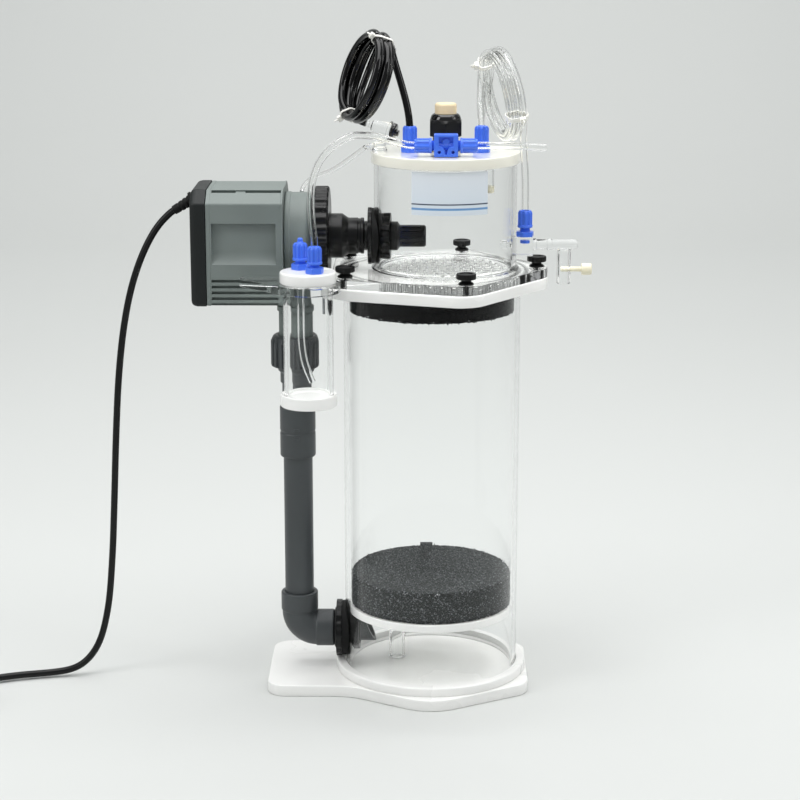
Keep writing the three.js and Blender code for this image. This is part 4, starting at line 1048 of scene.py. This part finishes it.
for k, (x, y) in enumerate(SCREWS):
    shank = [(r, z - 17) for r, z in thread(2.4, 0.6, 16.2, 0.9, 0.3)]
    piece(f"thumb_screw_head_{k + 1}", [lathe([(0, -17), (1.7, -17)] + shank + [(2.35, 0), (6.3, 0),
        (6.3, 1.1), (5.4, 1.9), (4.0, 2.7), (3.9, 4.2), (7.6, 4.6), (8.1, 5.1), (8.1, 8.6), (7.5, 9.2),
        (5.5, 9.2), (4.9, 8.3), (0, 8.2)], 96, (x, y, 365.3), soft=0.3,
        shape=ribbed(24, 0.3, 4.9, 8.8, 7.8), steps=2)], SATIN_BLACK, f"thumb_screw_{k + 1}",
        f"thumb_screw_{k + 1}")

piece("gland_base", [lathe([(7, 449.3)] + thread(9.8, 449.6, 463.2, 1.4, 0.4) + [(9.8, 463.6),
    (12.6, 463.6), (12.6, 468.2), (11, 469.4)] + thread(11, 469.8, 481.6, 1.5, 0.5)
    + [(10.4, 482.3), (7, 482.3)], 72, CHAMBER, soft=0.12, steps=2)], BLACK, UPPER, "gland_body")
piece("gland_hex", [lathe([(11.5, 475.7), (14.0, 475.7), (15.1, 476.8), (15.1, 487.2), (13.0, 489.4),
    (11.5, 489.4)], 120, CHAMBER, soft=0.35, shape=hexed(13.1, TURN / 12))], BLACK, "gland_nut",
    "gland_nut")
piece("gland_dome", [lathe([(9.5, 483.2), (11.4, 483.2), (11.4, 488.6), (12.9, 488.8), (12.8, 490.4),
    (12.1, 492.4), (10.9, 493.9), (9.5, 494.5)], 96, CHAMBER, soft=0.6)], GLOSS_BLACK, "gland_nut")
piece("cream_plug", [lathe([(0, 483.5), (8.6, 483.5), (9.1, 484.2), (9.1, 501.4), (8.2, 502.8), (0, 502.8)],
    72, CHAMBER, soft=0.5)], CREAM, "gland_plug", "gland_plug")

# Valve block: a housing with a notched window, two bosses, and a threaded stub at each side.
bottom, top = 463.7, 481.8
boss_z = bottom + 3.9
window = [(-5.9, top - 1.9), (-5.9, boss_z + 4.7)]
window += [(-5.9 + 4.9 * math.sin(math.radians(a)), boss_z + 4.9 * math.cos(math.radians(a)))
    for a in range(10, 91, 10)]
window += [(-0.8, bottom + 2.0), (0.8, bottom + 2.0)]
window += [(5.9 - 4.9 * math.sin(math.radians(a)), boss_z + 4.9 * math.cos(math.radians(a)))
    for a in range(90, 9, -10)]
window += [(5.9, boss_z + 4.7), (5.9, top - 1.9)]
window = [Vector((x + 11, z)) for x, z in window]
bosses = [ring_of(1.35, (11 + s * 5.6, boss_z), 20) for s in (-1, 1)]
piece("valve_housing", [plate(rect(1.2, 20.8, bottom, top, 0.9), -47.1, -43.4, 0.4, [window] + bosses,
    place=ALONG_Y), plate(rect(1.2, 20.8, bottom, top, 0.9), -43.38, -35, 0.4, place=ALONG_Y),
    lathe([(0, -10.8)] + thread(4.35, -10.7, 10.6) + [(0, 10.8)], 48, (11 - 9.6, -41, 472.4), TO_X, 0),
    lathe([(0, -10.8)] + thread(4.35, -10.7, 10.6) + [(0, 10.8)], 48, (11 + 9.6, -41, 472.4), TO_X, 0)],
    BLUE, UPPER, "valve_block")
piece("valve_heart", [plate(ring_of(3.4, (11, 475.4), 6, math.pi / 6), -44.6, -43.3, 0.3, place=ALONG_Y)],
    BLUE, UPPER)
nut("left_valve_nut", (-0.6, -41, 472.4), (-1, 0, 0), "valve_nut_left", "valve_nut_left")
nut("right_valve_nut", (22.6, -41, 472.4), TO_X, "valve_nut_right", "valve_nut_right")

# Side outlet.
SY, SZ = -18, 387.6
side_cut = [lathe(band(0, 60.3, 330, 450), 144, CHAMBER, soft=0)]
piece("side_block", [block(60, 84, SY - 6.5, SY + 6.5, 378.4, 394.3, 0.8, 0.4)], CLEAR, UPPER,
    "side_manifold", cuts=side_cut)
piece("side_arm", [lathe([(0, 84.02), (4.8, 84.02), (4.8, 86.4), (4.0, 86.8), (4.0, 96), (4.8, 96.3),
    (4.8, 99.6), (4.0, 99.9), (4.0, 118), (3.5, 120.6), (2.0, 121.8), (0, 122)], 48, (0, SY, SZ), TO_X,
    0.4)], CLEAR, UPPER)
piece("side_spigot", [lathe(band(0, 3.4, 56.6, 61.4), 32, (0, SY, SZ), TO_X, 0.3)], CLEAR, UPPER)
piece("hose_holder", [lathe(band(4, 5.7, 354.5, 383), 48, (110, SY, 0), soft=0.3)], CLEAR, UPPER,
    cuts=[lathe(band(0, 2.6, 112, 120), 24, (0, SY, 366.5), TO_X, 0)])
seat("side_hose_seat", 77.3, SY, 394.3, UPPER, 4.0)
piece("side_stub", [lathe(band(0, 4.0, 388.6, 391.2), 32, (77.3, SY, 0), soft=0.3)], BLUE, UPPER)
nut("side_hose_nut", (77.3, SY, 401.7), (0, 0, 1), "side_nut", "side_nut")
piece("nylon_clamp_screw", [lathe([(0, 107.4)] + thread(2.2, 107.6, 124.6, 0.9, 0.3) + [(2.2, 124.9),
    (4.9, 125), (4.9, 132.4), (4.2, 133.4), (0, 133.4)], 60, (0, SY, 366.5), TO_X, soft=0.15,
    shape=ribbed(16, 0.3, 125.4, 132, 4.6), steps=2)], NYLON, "nylon_screw", "nylon_screw")


LABEL_LOW, LABEL_HIGH = 417.5, 452.8


def label():
    """A plain curved panel on the chamber's front, standing a little proud of the tube."""
    points, faces = [], []
    cols, low, high = 40, LABEL_LOW, LABEL_HIGH
    a0, a1 = math.asin(-28 / 60.3), math.asin(34 / 60.3)
    for z, r in ((low, 60.12), (low, 60.42), (high, 60.42), (high, 60.12)):
        for k in range(cols + 1):
            a = a0 + (a1 - a0) * k / cols
            points.append(Vector((11 + r * math.sin(a), -r * math.cos(a), z)))
    n = cols + 1
    for i in range(4):
        j = (i + 1) % 4
        for k in range(cols):
            faces.append((i * n + k, i * n + k + 1, j * n + k + 1, j * n + k))
    faces += [(0, n, 2 * n, 3 * n), (n - 1, 4 * n - 1, 3 * n - 1, 2 * n - 1)]
    return points, faces


def label_look():
    """Pale paper with a blue stripe and a dark one near its foot."""
    look, tree, shader = nodes_of("label_paper")
    height = over_object(tree, "SeparateXYZ")
    level = added(tree, "MapRange", From_Min=LABEL_LOW * MM, From_Max=LABEL_HIGH * MM)
    tree.links.new(height.outputs["Z"], level.inputs["Value"])
    stops = [(0.0, "dfe9f2"), (0.115, "dfe9f2"), (0.125, "6f9fd0"), (0.165, "6f9fd0"), (0.175, "dfe9f2"),
        (0.235, "dfe9f2"), (0.245, "2f3f55"), (0.265, "2f3f55"), (0.275, "dfe9f2"), (1.0, "eaf0f6")]
    tint = colours(tree, level.outputs["Result"], [(at, linear(colour)) for at, colour in stops])
    tree.links.new(tint, shader.inputs["Base Color"])
    relief(tree, over_object(tree, "TexNoise", Scale=900).outputs["Fac"], shader, 0.05, 0.0002)
    settle(shader, Roughness=0.3, Coat_Weight=0.25)
    return look


piece("plain_label", [label()], label_look(), UPPER, weighted=False)


# ---------------------------------------------------------------- bubble counter

CX, CY = -101, -74
piece("counter_cap", [lathe(band(0, 23, 364.7, 374.4), 120, (CX, CY, 0), soft=1.6, steps=5)], WHITE, BASE,
    "counter_lid")
piece("counter_glass", [lathe(band(17.4, 20.4, 270.6, 364.4), 96, (CX, CY, 0), soft=0.3)], CLEAR, BASE,
    "counter_body")
piece("counter_foot", [lathe([(0, 262.5), (23.4, 262.5), (23.4, 272.5), (20.7, 272.5), (20.7, 270.2),
    (17.2, 270.2), (17.2, 271.6), (14, 270.2), (0, 270.2)], 112, (CX, CY, 0), soft=0.9, steps=4)], WHITE,
    BASE)
for side, (dx, dy) in (("front", (6, -9.5)), ("rear", (-6.5, 9))):
    x, y = CX + dx, CY + dy
    seat(f"counter_seat_{side}", x, y, 374.4, BASE, 4.8)
    piece(f"counter_boss_{side}", [lathe(band(0, 5.4, 361.6, 364.6), 40, (x, y, 0), soft=0.4)], BLUE, BASE)
    nut(f"counter_hose_nut_{side}", (x, y, 381.8), (0, 0, 1), f"counter_nut_{side}", f"counter_nut_{side}",
        10)
piece("rear_nut_nipple", [lathe([(0, 395.2), (3.2, 395.2), (3.2, 396.4), (2.2, 397.2), (2.2, 399.4),
    (1.4, 400.2), (0, 400.2)], 32, (CX - 6.5, CY + 9, 0), soft=0.3)], BLUE, "counter_nut_rear")
dip = curve_through([(CX - 6.5, CY + 9, 361.4), (CX - 6.5, CY + 8, 335), (CX - 6, CY + 7, 312),
    (CX - 3, CY + 4, 296), (CX + 3, CY, 282)], 3)
piece("counter_dip_tube", [tube(dip, 3.0, 20, 2.1)], CLEAR, BASE, smooth=60, weighted=False)

arm = rounded([(-86.6, -43.8, 1.5), (-157, -43.8, 3), (-159, -52, 4), (-120, -93, 0.5), (-86.6, -60, 1.0)],
    6)
piece("counter_clamp", [plate(arm, 357.5, 364.4, 0.4)], CLEAR_PLATE, BASE, "counter_bracket",
    join=[plate(ring_of(26.6, (CX, CY), 80), 357.5, 364.4, 0.4), plate(ring_of(3.2, (-86.6, -47), 32),
    357.5, 364.4, 0.4)], cuts=[lathe(band(0, 20.9, 350, 370), 80, (CX, CY, 0), soft=0)])
piece("bracket_bolt", [lathe([(0, 333.5)] + thread(1.9, 333.9, 357.2, 0.8, 0.28) + [(1.7, 364.4),
    (3.3, 364.5), (3.3, 367.2), (1.5, 367.4), (1.5, 365.8), (0, 365.8)], 40, BOLT, soft=0.12, steps=2)],
    STEEL, BASE)


# ---------------------------------------------------------------- cable ties on the coils

def coil_tie(name, path, centre, u, w, angle, facing, width=2.6):
    """A white tie round a coil's bundle at an angle, its head turned a given way."""
    c, q = math.cos(math.radians(angle)), math.sin(math.radians(angle))
    piece(name, tie(path, 3.0, centre + w * (36 * c) + u * (36 * q), u * c - w * q, facing, width), TIE,
        UPPER)


coil_tie("black_tie_top", black_path, black_centre, black_u, black_w, 70, (-0.5, -1, 0.1))
coil_tie("black_tie_low", black_path, black_centre, black_u, black_w, 262, (-1, 0.2, -0.4))
coil_tie("clear_tie_top", clear_path, clear_centre, clear_u, clear_w, 128, (-1, -0.4, 0), 4.4)
coil_tie("clear_tie_low", clear_path, clear_centre, clear_u, clear_w, -30, (0.2, -1, 0), 4.4)


# ---------------------------------------------------------------- floor, backdrop and lights

def sweep():
    """A pale floor that curves up into a backdrop."""
    front, back, curve, top, half = -6.0, 2.3, 1.1, 4.2, 6.5
    line = [(front, 0.0), (back, 0.0)]
    line += [(back + curve * math.sin(math.radians(a)), curve - curve * math.cos(math.radians(a)))
        for a in range(6, 91, 6)]
    line += [(back + curve, top)]
    data = bpy.data.meshes.new("studio_sweep")
    points = [(x, y, z) for x in (-half, half) for y, z in line]
    n = len(line)
    data.from_pydata(points, [], [(k, k + 1, n + k + 1, n + k) for k in range(n - 1)])
    data.shade_smooth()
    made = bpy.data.objects.new("studio_sweep", data)
    scene.collection.objects.link(made)
    look, tree, shader = nodes_of("studio_paper")
    settle(shader, Roughness=0.85, Specular_IOR_Level=0.2)
    soft = over_object(tree, "TexNoise", Scale=1.2)
    tint = colours(tree, soft.outputs["Fac"], [(0, linear("cfd1cf")), (1, linear("d2d4d2"))])
    tree.links.new(tint, shader.inputs["Base Color"])
    data.materials.append(look)


def softbox(name, at, aim, width, height, power):
    lamp = bpy.data.lights.new(name, "AREA")
    lamp.shape, lamp.size, lamp.size_y = "RECTANGLE", width, height
    lamp.energy = power
    made = bpy.data.objects.new(name, lamp)
    scene.collection.objects.link(made)
    made.location = at
    made.rotation_euler = (Vector(aim) - Vector(at)).to_track_quat("-Z", "Y").to_euler()


sweep()
softbox("key_left", (-1.7, -0.9, 1.35), (0, 0, 0.35), 0.8, 1.3, 14)
softbox("fill_right", (1.7, -0.6, 1.35), (0, 0, 0.35), 0.7, 1.3, 10.4)
softbox("overhead", (0.0, -0.1, 1.9), (0, 0.0, 0.2), 1.7, 1.7, 31.5)
softbox("backdrop_wash", (0, 1.9, 2.6), (0, 3.3, 0.5), 3.2, 0.7, 41)

world = bpy.data.worlds.new("studio_air")
scene.world = world
world.use_nodes = True
settle(world.node_tree.nodes["Background"], Color=(0.93, 0.95, 0.96, 1), Strength=0.35)
scene.cycles.max_bounces = scene.cycles.transmission_bounces = 28
scene.view_settings.view_transform = "Standard"

bpy.context.view_layer.update()
